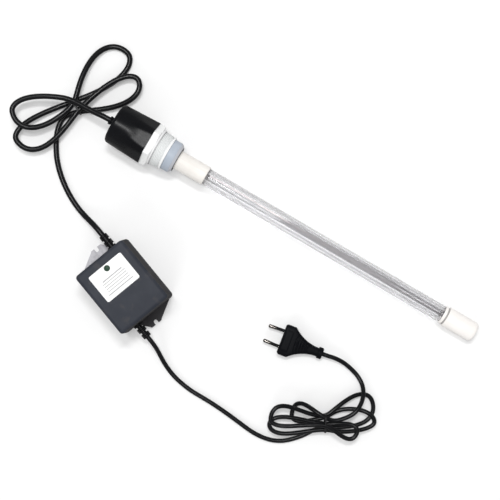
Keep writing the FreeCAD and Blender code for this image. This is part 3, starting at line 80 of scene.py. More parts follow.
class Signal:
    """A node's output, with arithmetic that adds Math nodes."""

    def __init__(self, graph: "Graph", socket: bpy.types.NodeSocket) -> None:
        """Keeps the graph and the output."""
        self.graph = graph
        self.socket = socket

    def __add__(self, other: "Value") -> "Signal":
        """The sum."""
        return self.graph.math("ADD", self, other)

    def __radd__(self, other: float) -> "Signal":
        """The sum with a number first."""
        return self.graph.math("ADD", other, self)

    def __sub__(self, other: "Value") -> "Signal":
        """The difference."""
        return self.graph.math("SUBTRACT", self, other)

    def __rsub__(self, other: float) -> "Signal":
        """The difference from a number."""
        return self.graph.math("SUBTRACT", other, self)

    def __mul__(self, other: "Value") -> "Signal":
        """The product."""
        return self.graph.math("MULTIPLY", self, other)

    def __rmul__(self, other: float) -> "Signal":
        """The product with a number first."""
        return self.graph.math("MULTIPLY", other, self)

    def __gt__(self, other: "Value") -> "Signal":
        """1 where this is greater."""
        return self.graph.math("GREATER_THAN", self, other)

    def __lt__(self, other: "Value") -> "Signal":
        """1 where this is less."""
        return self.graph.math("LESS_THAN", self, other)

    def __abs__(self) -> "Signal":
        """The size without its sign."""
        return self.graph.math("ABSOLUTE", self, 0.0)

    def wave(self) -> "Signal":
        """The sine."""
        return self.graph.math("SINE", self, 0.0)


Value = Signal | float
Triple = tuple[Signal, Signal, Signal]


class Graph:
    """The node tree of a material or a world under construction."""

    def __init__(self, owner: bpy.types.Material | bpy.types.World) -> None:
        """Empties the owner's tree."""
        owner.use_nodes = True
        self.tree = owner.node_tree
        self.tree.nodes.clear()

    def node(self, kind: str, settings: dict | None = None, inputs: dict | None = None) -> bpy.types.Node:
        """Adds a node.

        Args:
            kind: The node's type without its first word, ShaderNode.
            settings: What is set before anything is linked; "stops" are a ramp's (place, colour) pairs.
            inputs: Values or signals by socket name or number.

        Returns:
            The node.
        """
        made = self.tree.nodes.new("ShaderNode" + kind)
        for key, setting in (settings or {}).items():
            if key == "stops":
                self.set_stops(made.color_ramp, setting)
            else:
                setattr(made, key, setting)
        for key, given in (inputs or {}).items():
            if isinstance(given, Signal):
                self.tree.links.new(given.socket, made.inputs[key])
            else:
                made.inputs[key].default_value = given
        return made

    @staticmethod
    def set_stops(ramp: bpy.types.ColorRamp, stops: Sequence[tuple[float, Colour]]) -> None:
        """Gives a ramp its stops.

        Args:
            ramp: A new ramp.
            stops: (place, colour) pairs in order.
        """
        while len(ramp.elements) < len(stops):
            ramp.elements.new(1.0)
        for element, (place, colour) in zip(ramp.elements, stops):
            element.position = place
            element.color = (*colour, 1.0)

    def add(self, kind: str, settings: dict | None = None, inputs: dict | None = None,
            output: int | str = 0) -> Signal:
        """Adds a node and gives one of its outputs."""
        return Signal(self, self.node(kind, settings, inputs).outputs[output])

    def math(self, operation: str, first: Value, second: Value) -> Signal:
        """A Math node on two numbers."""
        return self.add("Math", {"operation": operation}, {0: first, 1: second})

    def mix(self, share: Value, first: Value, second: Value) -> Signal:
        """A mix of two numbers."""
        return self.add("Mix", None, {0: share, 2: first, 3: second})

    def blend(self, share: Value, first: Signal | Colour, second: Signal | Colour) -> Signal:
        """A mix of two colours."""
        inputs = {0: share, 6: self.colour(first), 7: self.colour(second)}
        return self.add("Mix", {"data_type": "RGBA"}, inputs, 2)

    @staticmethod
    def colour(given: Signal | Colour) -> Signal | tuple[float, ...]:
        """A colour as a socket takes it."""
        return given if isinstance(given, Signal) else (*given, 1.0)

    def shaders(self, share: Value, first: Signal, second: Signal) -> Signal:
        """A mix of two shaders."""
        return self.add("MixShader", None, {0: share, 1: first, 2: second})

    def apart(self, vector: Signal) -> Triple:
        """The three parts of a vector."""
        split = self.node("SeparateXYZ", None, {0: vector})
        return Signal(self, split.outputs[0]), Signal(self, split.outputs[1]), Signal(self, split.outputs[2])

    def place(self) -> Signal:
        """Where a point lies in the piece's own frame."""
        return self.add("TexCoord", output="Object")

    def local(self, place: Signal, home: Matrix) -> Signal:
        """A place measured in a sub-assembly's own frame."""
        inputs = {"Vector": place, "Location": tuple(home.translation), "Rotation": tuple(home.to_euler())}
        return self.add("Mapping", {"vector_type": "TEXTURE"}, inputs)

    def within(self, place: Signal, home: Matrix) -> Triple:
        """The three parts of a place measured in a sub-assembly's own frame."""
        return self.apart(self.local(place, home))

    def stretched(self, place: Signal, scale: Point) -> Signal:
        """A place scaled by axis, for patterns with a direction."""
        return self.add("Mapping", None, {"Vector": place, "Scale": scale})

    def noise(self, place: Signal, size: float, detail: float) -> Signal:
        """Soft noise whose patches are about a size across."""
        return self.add("TexNoise", None, {"Vector": place, "Scale": 1.0 / size, "Detail": detail})

    def ramp(self, value: Signal, low: float, high: float, start: float = 0.0, end: float = 1.0) -> Signal:
        """A start below a low value and an end above a high one, eased between."""
        inputs = {0: value, 1: low, 2: high, 3: start, 4: end}
        return self.add("MapRange", {"interpolation_type": "SMOOTHSTEP"}, inputs)

    def level(self, value: Signal, stops: Sequence[Pair]) -> Signal:
        """A number read from a ramp of (place, level) pairs."""
        return self.add("ValToRGB", {"stops": [(place, (level,) * 3) for place, level in stops]}, {0: value})

    def relief(self, height: Signal, depth: float) -> Signal:
        """A normal that follows a height of 0 to 1."""
        return self.add("Bump", None, {"Distance": depth, "Height": height})


@dataclass(frozen=True)
class Finish:
    """A surface whose colour wanders a little, whose gloss changes and whose skin has a fine grain.

    Its painted shade darkens a groove or a zone that lies in shadow, where the lamp's X is inside the span
    and its axis is nearer than a distance.
    """

    colour: Colour
    stain: Colour
    roughness: float
    swing: float = 0.08
    patch: float = 0.03
    grain: float = 0.0008
    depth: float = 0.00003
    metallic: float = 0.0
    specular: float = 0.5
    painted_shade: Colour = (0.0, 0.0, 0.0)
    span: Pair = (0.0, 0.0)
    nearer: float = 1.0

    def material(self, name: str) -> bpy.types.Material:
        """Makes the finish as a material.

        Args:
            name: The material's name.

        Returns:
            The material.
        """
        made = bpy.data.materials.new(name)
        graph = Graph(made)
        graph.node("OutputMaterial", None, {"Surface": self.shader(graph)})
        return made

    def tone(self, graph: Graph, place: Signal) -> Signal:
        """The colour, which wanders to the stain in soft patches."""
        share = graph.ramp(graph.noise(place, self.patch, 3.0), 0.35, 0.7)
        return graph.blend(share, self.colour, self.stain)

    def with_painted_shade(self, graph: Graph, place: Signal) -> Signal:
        """The colour with its painted shade, if it has one.

        Args:
            graph: The material's graph.
            place: A point in the piece's frame.

        Returns:
            The colour.
        """
        tone = self.tone(graph, place)
        start, end = self.span
        if start == end:
            return tone
        x, y, z = graph.within(place, LAMP_FRAME)
        # Painted shade: the zone is darkened as if in shadow.
        inside = (x > start) * (x < end) * (y * y + z * z < self.nearer ** 2)
        return graph.blend(inside, tone, self.painted_shade)

    def gloss(self, graph: Graph, place: Signal) -> Signal:
        """The roughness, with handling marks."""
        return self.roughness + self.swing * (graph.noise(place, self.patch * 0.4, 5.0) - 0.5)

    def height(self, graph: Graph, place: Signal) -> Signal:
        """The grain of the skin."""
        return graph.noise(place, self.grain, 2.0)

    def inputs(self, graph: Graph) -> dict[str, Value]:
        """What the sockets of the shader take.

        Args:
            graph: The material's graph.

        Returns:
            Values and signals by socket name.
        """
        place = graph.place()
        return {
            "Base Color": self.with_painted_shade(graph, place),
            "Roughness": self.gloss(graph, place),
            "Normal": graph.relief(self.height(graph, place), self.depth),
            "Metallic": self.metallic,
            "Specular IOR Level": self.specular,
        }

    def shader(self, graph: Graph) -> Signal:
        """The shader with its patterns."""
        return graph.add("BsdfPrincipled", None, self.inputs(graph))


@dataclass(frozen=True)
class BallastPlastic(Finish):
    """Spark-textured dark plastic, faintly mottled, with dull brown walls and one ear paler."""

    brown: Colour = (0.054, 0.049, 0.046)
    patch_tone: Colour = (0.062, 0.058, 0.060)
    pale_ear: Colour = (0.57, 0.565, 0.595)
    pale_ear_from: float = -0.0422
    pale_ear_top: float = 0.0035
    rim: Pair = (0.0440, 0.0500)

    def walls(self, graph: Graph, place: Signal) -> Signal:
        """1 on the walls, 0 on the top."""
        return 1.0 - graph.ramp(graph.within(place, BALLAST_FRAME)[2], *self.rim)

    def tone(self, graph: Graph, place: Signal) -> Signal:
        """Slate with patches, brown walls and the rear ear paler in patches.

        Args:
            graph: The material's graph.
            place: A point in the piece's frame.

        Returns:
            The colour.
        """
        patches = graph.ramp(graph.noise(place, 0.011, 5.0), 0.52, 0.72)
        spotted = graph.blend(patches * 0.5, super().tone(graph, place), self.patch_tone)
        mottled = graph.blend(self.walls(graph, place) * 0.6, spotted, self.brown)
        ear_patches = 0.82 + 0.18 * graph.ramp(graph.noise(place, 0.004, 4.0), 0.35, 0.65)
        x, _, z = graph.within(place, BALLAST_FRAME)
        return graph.blend((x < self.pale_ear_from) * (z < self.pale_ear_top) * ear_patches, mottled, self.pale_ear)

    def gloss(self, graph: Graph, place: Signal) -> Signal:
        """Duller walls."""
        return super().gloss(graph, place) + self.walls(graph, place) * 0.30

    def height(self, graph: Graph, place: Signal) -> Signal:
        """Spark texture of two sizes."""
        return 0.6 * graph.noise(place, self.grain, 2.0) + 0.4 * graph.noise(place, self.grain * 3.0, 2.0)


@dataclass(frozen=True)
class Ceramic(Finish):
    """Pressed ceramic with faint streaks along X and tiny pits."""

    streak: Point = (0.06, 1.0, 1.0)

    def tone(self, graph: Graph, place: Signal) -> Signal:
        """The colour with its streaks."""
        lines = graph.noise(graph.stretched(place, self.streak), 0.0016, 4.0)
        return graph.blend(graph.ramp(lines, 0.4, 0.75), super().tone(graph, place), self.stain)


@dataclass(frozen=True)
class QuartzGlass(Finish):
    """Clear quartz that lets lamps through, with painted reflections: grey streaks on its upper side that
    stand in for dark surroundings mirrored in the glass, a painted grey outline where a wall is seen along
    itself, and a painted shade ring at its near mouth.

    Streaks are (millimetres across from the lamp's middle, share of grey) pairs for the tube's near end, its
    middle and its far end. One kind passes to the next along a slanted line, from a place to another along X.
    """

    radius: float = 0.0095
    skin: Pair = (0.0088, 0.0092)
    painted_reflection: Colour = (0.155, 0.150, 0.158)
    clear: Colour = (0.68, 0.68, 0.69)
    near: tuple[Pair, ...] = (
        (-9.5, 0.10), (-8.6, 0.22), (-7.4, 0.30), (-6.6, 0.36), (-5.4, 0.20), (-4.7, 0.12), (-3.8, 0.28),
        (-3.0, 0.66), (-2.3, 0.40), (-1.2, 0.16), (-0.4, 0.32), (0.6, 0.46), (1.4, 0.20), (2.2, 0.08),
        (3.2, 0.26), (4.5, 0.36), (6.0, 0.40), (7.4, 0.46), (8.4, 0.26), (9.3, 0.06),
    )
    middle: tuple[Pair, ...] = (
        (-9.5, 0.16), (-8.6, 0.12), (-7.2, 0.22), (-6.2, 0.42), (-5.5, 0.44), (-4.8, 0.24), (-3.9, 0.10),
        (-3.2, 0.24), (-2.5, 0.66), (-1.5, 0.74), (0.6, 0.72), (2.6, 0.66), (4.4, 0.58), (5.8, 0.54),
        (6.6, 0.32), (7.6, 0.20), (8.6, 0.24), (9.3, 0.05),
    )
    far: tuple[Pair, ...] = (
        (-9.5, 0.20), (-8.4, 0.20), (-7.4, 0.26), (-6.4, 0.42), (-5.2, 0.50), (-4.4, 0.32), (-3.7, 0.18),
        (-3.0, 0.40), (-2.2, 0.82), (-1.2, 0.88), (-0.5, 0.50), (0.4, 0.34), (1.0, 0.55), (1.8, 0.86),
        (2.6, 0.78), (3.4, 0.46), (4.3, 0.34), (5.4, 0.46), (6.4, 0.48), (7.4, 0.28), (8.5, 0.26),
        (9.3, 0.08),
    )
    slant: float = 3.0
    to_middle: Pair = (0.155, 0.182)
    to_far: Pair = (0.292, 0.345)
    # Where the painted shade at the near mouth fades out along X.
    mouth: Pair = (0.0738, 0.0764)

    def grey(self, graph: Graph) -> Signal:
        """How much painted reflection, in grey, lies at a point of the upper outside.

        Args:
            graph: The material's graph.

        Returns:
            The share, 0 on the lower side and inside.
        """
        home = graph.local(graph.place(), LAMP_FRAME)
        x, y, z = graph.apart(home)
        width = 2.0 * self.radius
        across = y * (1.0 / width) + 0.5
        near, middle, far = (
            graph.level(across, [(place / 1000.0 / width + 0.5, share) for place, share in streaks])
            for streaks in (self.near, self.middle, self.far)
        )
        # Painted reflection: grey streaks across the upper side, standing in for dark surroundings seen in
        # the glass.
        grey = near + graph.ramp(x - self.slant * y, *self.to_middle) * (middle - near)
        grey = grey + graph.ramp(x + self.slant * y, *self.to_far) * (far - grey)
        strands = graph.noise(graph.stretched(home, (0.03, 1.0, 1.0)), 0.0026, 0.0)
        grain = 0.90 + 0.20 * graph.ramp(strands, 0.3, 0.7)
        # Painted shade: a dark ring on the tube next to the near base's rim.
        mouth = 0.42 * (1.0 - graph.ramp(x, *self.mouth))
        inner, outer = self.skin
        upper = graph.ramp(z, 0.0, 0.0006) * graph.ramp(y * y + z * z, inner ** 2, outer ** 2)
        return upper * (grey * grain + mouth)

    def edge(self, graph: Graph) -> Signal:
        """Painted reflection: a grey line where a wall is seen along itself."""
        facing = graph.add("LayerWeight", None, {"Blend": 0.5}, "Facing")
        return 0.30 * graph.ramp(facing, 0.70, 1.0)

    def shader(self, graph: Graph) -> Signal:
        """Glass to sight, nearly clear to lamps, grey where the painted reflections are.

        Args:
            graph: The material's graph.

        Returns:
            The shader.
        """
        inputs = {
            "Base Color": (*self.colour, 1.0),
            "Roughness": self.roughness,
            "IOR": QUARTZ_IOR,
            "Transmission Weight": 1.0,
        }
        glass = graph.add("BsdfPrincipled", None, inputs)
        # The grey of the painted reflections, mixed over the glass.
        painted_reflection = graph.add("BsdfPrincipled", None, {"Base Color": (*self.painted_reflection, 1.0), "Roughness": 0.4})
        glass_with_painted_reflections = graph.shaders(self.grey(graph) + self.edge(graph), glass, painted_reflection)
        clear = graph.add("BsdfTransparent", None, {"Color": (*self.clear, 1.0)})
        return graph.shaders(graph.add("LightPath", output="Is Shadow Ray"), glass_with_painted_reflections, clear)


@dataclass(frozen=True)
class SealSilicone(Finish):
    """Soft silicone, greyer on its nose, with painted deep shade inside its bore and on the lip at its tip.
    """

    nose: Colour = (0.50, 0.515, 0.555)
    bore_shade: Colour = (0.03, 0.03, 0.035)
    nose_span: Pair = (0.0328, 0.0334)
    bore: float = 0.0126
    lip_shade_from: float = 0.0360

    def tone(self, graph: Graph, place: Signal) -> Signal:
        """Blue grey, greyer towards the nose, with painted shade inside the bore and on the lip.

        Args:
            graph: The material's graph.
            place: A point in the piece's frame.

        Returns:
            The colour.
        """
        x, y, z = graph.within(place, LAMP_FRAME)
        outside = graph.blend(graph.ramp(x, *self.nose_span), super().tone(graph, place), self.nose)
        # Painted shade inside the bore and on the nose's lip.
        inside = graph.math("MAXIMUM", y * y + z * z < self.bore ** 2, x > self.lip_shade_from)
        return graph.blend(inside, outside, self.bore_shade)


@dataclass(frozen=True)
class PlainGlass(Finish):
    """Clear glass for small pieces inside others."""

    def inputs(self, graph: Graph) -> dict[str, Value]:
        """The usual inputs, and light let through."""
        return super().inputs(graph) | {"IOR": QUARTZ_IOR, "Transmission Weight": 1.0}


@dataclass(frozen=True)
class LabelFilm(Finish):
    """A white label printed as a blank form: a thin frame and ruled lines with nothing on them.

    A rule is its place across the label, half its length and half its thickness.
    """

    centre: Pair = (-0.0133, 0.00065)
    half: Pair = (0.0173, 0.02235)
    inset: float = 0.0014
    line: float = 0.00022
    rules: tuple[Point, ...] = (
        (-0.0035, 0.0130, 0.00055), (-0.0005, 0.0150, 0.00034), (0.0025, 0.0150, 0.00034),
        (0.0055, 0.0150, 0.00034), (0.0085, 0.0150, 0.00034), (0.0120, 0.0165, 0.00050),
    )
    ink: Colour = (0.16, 0.165, 0.175)

    def tone(self, graph: Graph, place: Signal) -> Signal:
        """White with a frame and rules that run along the box's Y.

        Args:
            graph: The material's graph.
            place: A point in the piece's frame.

        Returns:
            The colour.
        """
        x, y, _ = graph.within(place, BALLAST_FRAME)
        across = x - self.centre[0]
        aside, along = abs(across), abs(y - self.centre[1])
        within, deeper = (
            (aside < self.half[0] - inset) * (along < self.half[1] - inset)
            for inset in (self.inset, self.inset + self.line)
        )
        ink = (within - deeper) * 0.35
        for station, reach, thick in self.rules:
            ink = ink + (abs(across - station) < thick) * (along < reach) * 0.75
        return graph.blend(ink, super().tone(graph, place), self.ink)


@dataclass(frozen=True)
class Wound(Finish):
    """Lacquered wire wound round the vertical."""

    pitch: float = 0.0007

    def height(self, graph: Graph, place: Signal) -> Signal:
        """Turns of wire one above the other."""
        return 0.5 + 0.5 * (graph.apart(place)[2] * (2.0 * math.pi / self.pitch)).wave()


@dataclass(frozen=True)
class Laminate(Finish):
    """Circuit board with paler tracks under the mask."""

    track: Colour = (0.10, 0.30, 0.14)

    def tone(self, graph: Graph, place: Signal) -> Signal:
        """Green with tracks."""
        settings = {"feature": "DISTANCE_TO_EDGE"}
        edges = graph.add("TexVoronoi", settings, {"Vector": place, "Scale": 140.0}, "Distance")
        return graph.blend(edges < 0.09, super().tone(graph, place), self.track)


SMOOTH = 0.00001
BLACK_JACKET = Finish((0.0050, 0.0052, 0.0062), (0.0080, 0.0083, 0.0095), 0.30, 0.08, 0.05, 0.0012, SMOOTH,
                      specular=0.45)
FINISHES: dict[str, Finish] = {
    "boot_rubber": Finish((0.0064, 0.0066, 0.0078), (0.0082, 0.0084, 0.0097), 0.27, grain=0.0007,
                          depth=SMOOTH, specular=0.20),
    # Painted shade: the thread, of the same white plastic, is greyer as if in shadow.
    "head_plastic": Finish((0.86, 0.865, 0.86), (0.82, 0.83, 0.835), 0.38, 0.08, 0.02, 0.0009, SMOOTH,
                           painted_shade=(0.70, 0.715, 0.715), span=(0.0100, 0.0206)),
    # Painted shade: the gasket is dark on its thread side, a painted shadow line between flange and thread.
    "gasket_rubber": Finish((0.78, 0.78, 0.78), (0.73, 0.73, 0.74), 0.6, painted_shade=(0.44, 0.44, 0.445),
                            span=(0.0097, 0.0200)),
    "seal_silicone": SealSilicone((0.385, 0.432, 0.500), (0.425, 0.470, 0.535), 0.42, 0.10, 0.02, 0.0012,
                                  0.00002),
    "socket_ceramic": Ceramic((0.80, 0.77, 0.71), (0.72, 0.69, 0.63), 0.55),
    "contact_metal": Finish((0.72, 0.60, 0.34), (0.60, 0.48, 0.26), 0.28, metallic=1.0, depth=SMOOTH),
    "potting_resin": Finish((0.03, 0.028, 0.025), (0.05, 0.045, 0.04), 0.3),
    "wire_insulation": Finish((0.55, 0.06, 0.03), (0.45, 0.05, 0.03), 0.4),
    "mains_insulation": Finish((0.03, 0.10, 0.45), (0.03, 0.08, 0.36), 0.4),
    "base_ceramic": Ceramic((0.84, 0.815, 0.78), (0.78, 0.75, 0.71), 0.50, 0.08, 0.02, 0.0010),
    # Painted shade: dark in the groove between the collar and the cap.
    "cap_ceramic": Ceramic((0.90, 0.875, 0.845), (0.87, 0.84, 0.81), 0.48, 0.08, 0.02, 0.0010, 0.00002,
                           painted_shade=(0.36, 0.35, 0.34), span=(0.3813, 0.3836), nearer=0.0100),
    "quartz_glass": QuartzGlass((0.985, 0.985, 0.99), (0.97, 0.97, 0.975), 0.0),
    "filament_metal": Finish((0.28, 0.27, 0.26), (0.20, 0.19, 0.18), 0.42, metallic=1.0),
    "wire_sleeve": Finish((0.82, 0.76, 0.76), (0.72, 0.66, 0.67), 0.4, patch=0.012),
    "ballast_plastic": BallastPlastic((0.030, 0.034, 0.045), (0.040, 0.044, 0.056), 0.50, 0.10, 0.03, 0.0007,
                                      0.00005, specular=0.25),
    "screw_steel": Finish((0.50, 0.50, 0.49), (0.40, 0.40, 0.38), 0.32, metallic=1.0, depth=SMOOTH),
    "label_film": LabelFilm((0.84, 0.84, 0.835), (0.80, 0.80, 0.80), 0.34, 0.06, 0.02, 0.0015, SMOOTH),
    "lens_green": Finish((0.022, 0.050, 0.032), (0.030, 0.075, 0.045), 0.40, specular=0.3),
    "diode_resin": Finish((0.10, 0.50, 0.14), (0.08, 0.42, 0.12), 0.2),
    "board_laminate": Laminate((0.02, 0.13, 0.045), (0.025, 0.15, 0.05), 0.4),
    "ferrite": Finish((0.035, 0.035, 0.038), (0.05, 0.05, 0.052), 0.6),
    "winding_copper": Wound((0.45, 0.16, 0.06), (0.36, 0.12, 0.045), 0.32, metallic=0.8, depth=0.0003),
    "capacitor_can": Finish((0.03, 0.035, 0.055), (0.04, 0.045, 0.065), 0.35),
    "film_box": Finish((0.60, 0.30, 0.03), (0.52, 0.26, 0.03), 0.3),
    "package_resin": Finish((0.014, 0.014, 0.014), (0.02, 0.02, 0.02), 0.55),
    "fuse_glass": PlainGlass((0.92, 0.93, 0.92), (0.90, 0.91, 0.90), 0.05, depth=0.0),
    "terminal_plastic": Finish((0.03, 0.17, 0.07), (0.04, 0.20, 0.09), 0.45),
    "gland_rubber": Finish((0.0060, 0.0062, 0.0074), (0.0090, 0.0092, 0.0105), 0.36, specular=0.2),
    "lead_jacket": BLACK_JACKET,
    "mains_jacket": BLACK_JACKET,
    "tie_plastic": Finish((0.0080, 0.0080, 0.0090), (0.0120, 0.0120, 0.0130), 0.35, specular=0.25),
    "plug_rubber": Finish((0.0045, 0.0048, 0.0062), (0.0060, 0.0064, 0.0078), 0.38, specular=0.09),
    "plug_plastic": Finish((0.0070, 0.0072, 0.0080), (0.0100, 0.0100, 0.0110), 0.24, specular=0.3),
    "pin_nickel": Finish((0.42, 0.39, 0.36), (0.33, 0.30, 0.28), 0.24, 0.14, 0.006, metallic=1.0,
                         depth=SMOOTH),
}


class Paintshop:
    """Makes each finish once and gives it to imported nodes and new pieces."""

    def __init__(self, finishes: dict[str, Finish]) -> None:
        """Makes the materials."""
        self.materials = {slot: finish.material(slot) for slot, finish in finishes.items()}

    def paint(self, obj: Piece, slot: str) -> None:
        """Puts a finish on all of an object's material slots.

        Args:
            obj: The object.
            slot: The record's slot whose finish it takes.
        """
        if not obj.material_slots:
            obj.data.materials.append(self.materials[slot])
        for place in obj.material_slots:
            place.material = self.materials[slot]

    def paint_nodes(self) -> None:
        """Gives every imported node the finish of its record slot."""
        for row in frame["record"]["subparts"]:
            self.paint(frame["nodes"][row["node"]], row["material_slot"])

    def hand_over(self, obj: Piece, slot: str, body: Body, *nodes: str) -> Piece:
        """Paints a finished piece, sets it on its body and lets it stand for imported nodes.

        Args:
            obj: The piece.
            slot: The record's slot whose finish it takes.
            body: The body that it rides on.
            nodes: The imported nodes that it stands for.

        Returns:
            The piece.
        """
        self.paint(obj, slot)
        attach(obj, body.value)
        if nodes:
            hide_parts(*nodes)
        log.info("%s: %s, for %s", obj.name, slot, ", ".join(nodes) or "itself")
        return obj


class Bench:
    """Modelling steps with operators, as by hand."""

    @staticmethod
    def take(obj: Piece) -> None:
        """Makes a piece the only selected one.

        Args:
            obj: The piece.
        """
        bpy.ops.object.select_all(action="DESELECT")
        obj.select_set(True)
        bpy.context.view_layer.objects.active = obj

    @staticmethod
    def turn(name: str, stations: Sequence[Pair], sides: int = 96, ends: bool = False) -> Piece:
        """Draws a ring of edges along X from station to station.

        Args:
            name: The piece's name.
            stations: (place along X, radius) pairs; without ends the profile closes on its first station.
            sides: Points round the axis.
            ends: Whether the first and last stations are closed by a face instead.

        Returns:
            The turned piece, its axis on X.
        """
        bpy.ops.object.select_all(action="DESELECT")
        x, radius = stations[0]
        bpy.ops.mesh.primitive_circle_add(vertices=sides, radius=radius, location=(x, 0.0, 0.0),
                                          rotation=(0.0, math.pi / 2, 0.0), fill_type="NOTHING")
        obj = bpy.context.active_object
        obj.name = name
        obj.data.name = name
        bpy.ops.object.transform_apply(location=True, rotation=True, scale=True)
        bpy.ops.object.mode_set(mode="EDIT")
        bpy.ops.mesh.select_all(action="SELECT")
        if ends:
            bpy.ops.mesh.edge_face_add()
        following = stations[1:] if ends else [*stations[1:], stations[0]]
        for next_x, next_radius in following:
            bpy.ops.mesh.extrude_region_move(TRANSFORM_OT_translate={"value": (next_x - x, 0.0, 0.0)})
            share = next_radius / radius
            bpy.ops.transform.resize(value=(1.0, share, share), center_override=(next_x, 0.0, 0.0))
            x, radius = next_x, next_radius
        bpy.ops.mesh.select_all(action="SELECT")
        bpy.ops.mesh.remove_doubles(threshold=TINY)
        bpy.ops.mesh.normals_make_consistent(inside=False)
        bpy.ops.object.mode_set(mode="OBJECT")
        return obj

    @staticmethod
    def reshape(obj: Piece, move: Callable[[Vector], Vector]) -> None:
        """Moves every point of a piece by a formula.

        Args:
            obj: The piece.
            move: Gives the new place of a point.
        """
        for vertex in obj.data.vertices:
            vertex.co = move(vertex.co)
        obj.data.update()

    @staticmethod
    def rering(obj: Piece, wanted: Callable[[float, float, float], float]) -> None:
        """Gives every point of a turned piece a new distance from its axis.

        Args:
            obj: The piece, its axis on X.
            wanted: Gives that distance from the place along X, the distance and the angle about X.
        """
        def move(point: Vector) -> Vector:
            """Moves a point straight in or out."""
            radius = math.hypot(point.y, point.z)
            scale = wanted(point.x, radius, math.atan2(point.z, point.y)) / radius
            return Vector((point.x, point.y * scale, point.z * scale))

        Bench.reshape(obj, move)

    @staticmethod
    def round_edges(obj: Piece, width: float, segments: int, least_angle: float) -> None:
        """Rounds the sharp edges with an applied modifier.

        Args:
            obj: The piece.
            width: The rounding's width.
            segments: Its faces across.
            least_angle: The least angle of an edge that is rounded, in degrees.
        """
        Bench.take(obj)
        modifier = obj.modifiers.new("rounding", "BEVEL")
        modifier.width = width
        modifier.segments = segments
        modifier.limit_method = "ANGLE"
        modifier.angle_limit = math.radians(least_angle)
        modifier.harden_normals = False
        bpy.ops.object.modifier_apply(modifier=modifier.name)

    @staticmethod
    def cut(obj: Piece, tool: Piece) -> None:
        """Takes one piece's shape out of another and removes the tool.

        Args:
            obj: The piece that is cut.
            tool: The piece that goes.
        """
        Bench.take(obj)
        modifier = obj.modifiers.new("cut", "BOOLEAN")
        modifier.operation = "DIFFERENCE"
        modifier.solver = "EXACT"
        modifier.object = tool
        bpy.ops.object.modifier_apply(modifier=modifier.name)
        bpy.data.objects.remove(tool)

    @staticmethod
    def set_down(obj: Piece, place: Matrix, smooth: float) -> Piece:
        """Smooths a piece and puts it in the row frame, its place in its mesh.

        Args:
            obj: The piece, modelled at its own frame.
            place: That frame in the row frame.
            smooth: The greatest angle that is shaded smooth, in degrees.

        Returns:
            The piece.
        """
        Bench.take(obj)
        obj.matrix_world = place
        bpy.ops.object.transform_apply(location=True, rotation=True, scale=True)
        bpy.ops.object.shade_smooth_by_angle(angle=math.radians(smooth))
        return obj


def quarter(x: float, radius: float, size: float, steps: int) -> list[Pair]:
    """Stations of a rounded edge between a cylinder and its face at +X.

    Args:
        x: Where the face is.
        radius: The cylinder's radius.
        size: The rounding's radius.
        steps: How many steps it takes.

    Returns:
        Stations from the cylinder to the face.
    """
    angles = [math.radians(90.0 * step / steps) for step in range(steps + 1)]
    return [(x - size + size * math.sin(angle), radius - size + size * math.cos(angle)) for angle in angles]


def even(first: Pair, last: Pair, steps: int) -> list[Pair]:
    """Stations evenly spaced from one to another, without the last."""
    (x, radius), (last_x, last_radius) = first, last
    return [(x + (last_x - x) * n / steps, radius + (last_radius - radius) * n / steps) for n in range(steps)]


def eased(share: float) -> float:
    """Eases from 0 to 1."""
    share = min(1.0, max(0.0, share))
    return share * share * (3.0 - 2.0 * share)


def lesser(first: float, second: float, softness: float) -> float:
    """The lesser of two lengths, with a soft change between them."""
    low = min(first, second)
    return low - softness * math.log(math.exp((low - first) / softness) + math.exp((low - second) / softness))


def hexagon_reach(angle: float, flat: float) -> float:
    """How far a hexagon with flats above and below reaches at an angle about X."""
    off = (angle - math.pi / 2 + math.pi / 6) % (math.pi / 3) - math.pi / 6
    return flat / math.cos(off)


@dataclass(frozen=True)
class AreaLamp:
    """An area lamp that looks at the table's middle.

    Tilt is its angle from the vertical and bearing the one from +X towards +Y, both in degrees. Level is how
    bright it alone makes a white card on the table, and mirrored tells whether gloss shows it.
    """

    name: str
    tilt: float
    bearing: float
    distance: float
    size: Pair
    level: float
    mirrored: bool = False

    def hang(self, middle: Vector) -> None:
        """Puts the lamp in its place.

        Args:
            middle: The table's middle.
        """
        slope, heading = math.radians(self.tilt), math.radians(self.bearing)
        aside = math.sin(slope)
        out = Vector((math.cos(heading) * aside, math.sin(heading) * aside, math.cos(slope)))
        data = bpy.data.lights.new(self.name, "AREA")
        data.shape = "RECTANGLE"
        data.size, data.size_y = self.size
        data.energy = self.level * math.pi ** 2 * self.distance ** 2 / math.cos(slope)
        lamp = bpy.data.objects.new(self.name, data)
        lamp.location = middle + out * self.distance
        lamp.rotation_euler = out.to_track_quat("Z", "Y").to_euler()
        lamp.visible_glossy = self.mirrored
        bpy.context.scene.collection.objects.link(lamp)


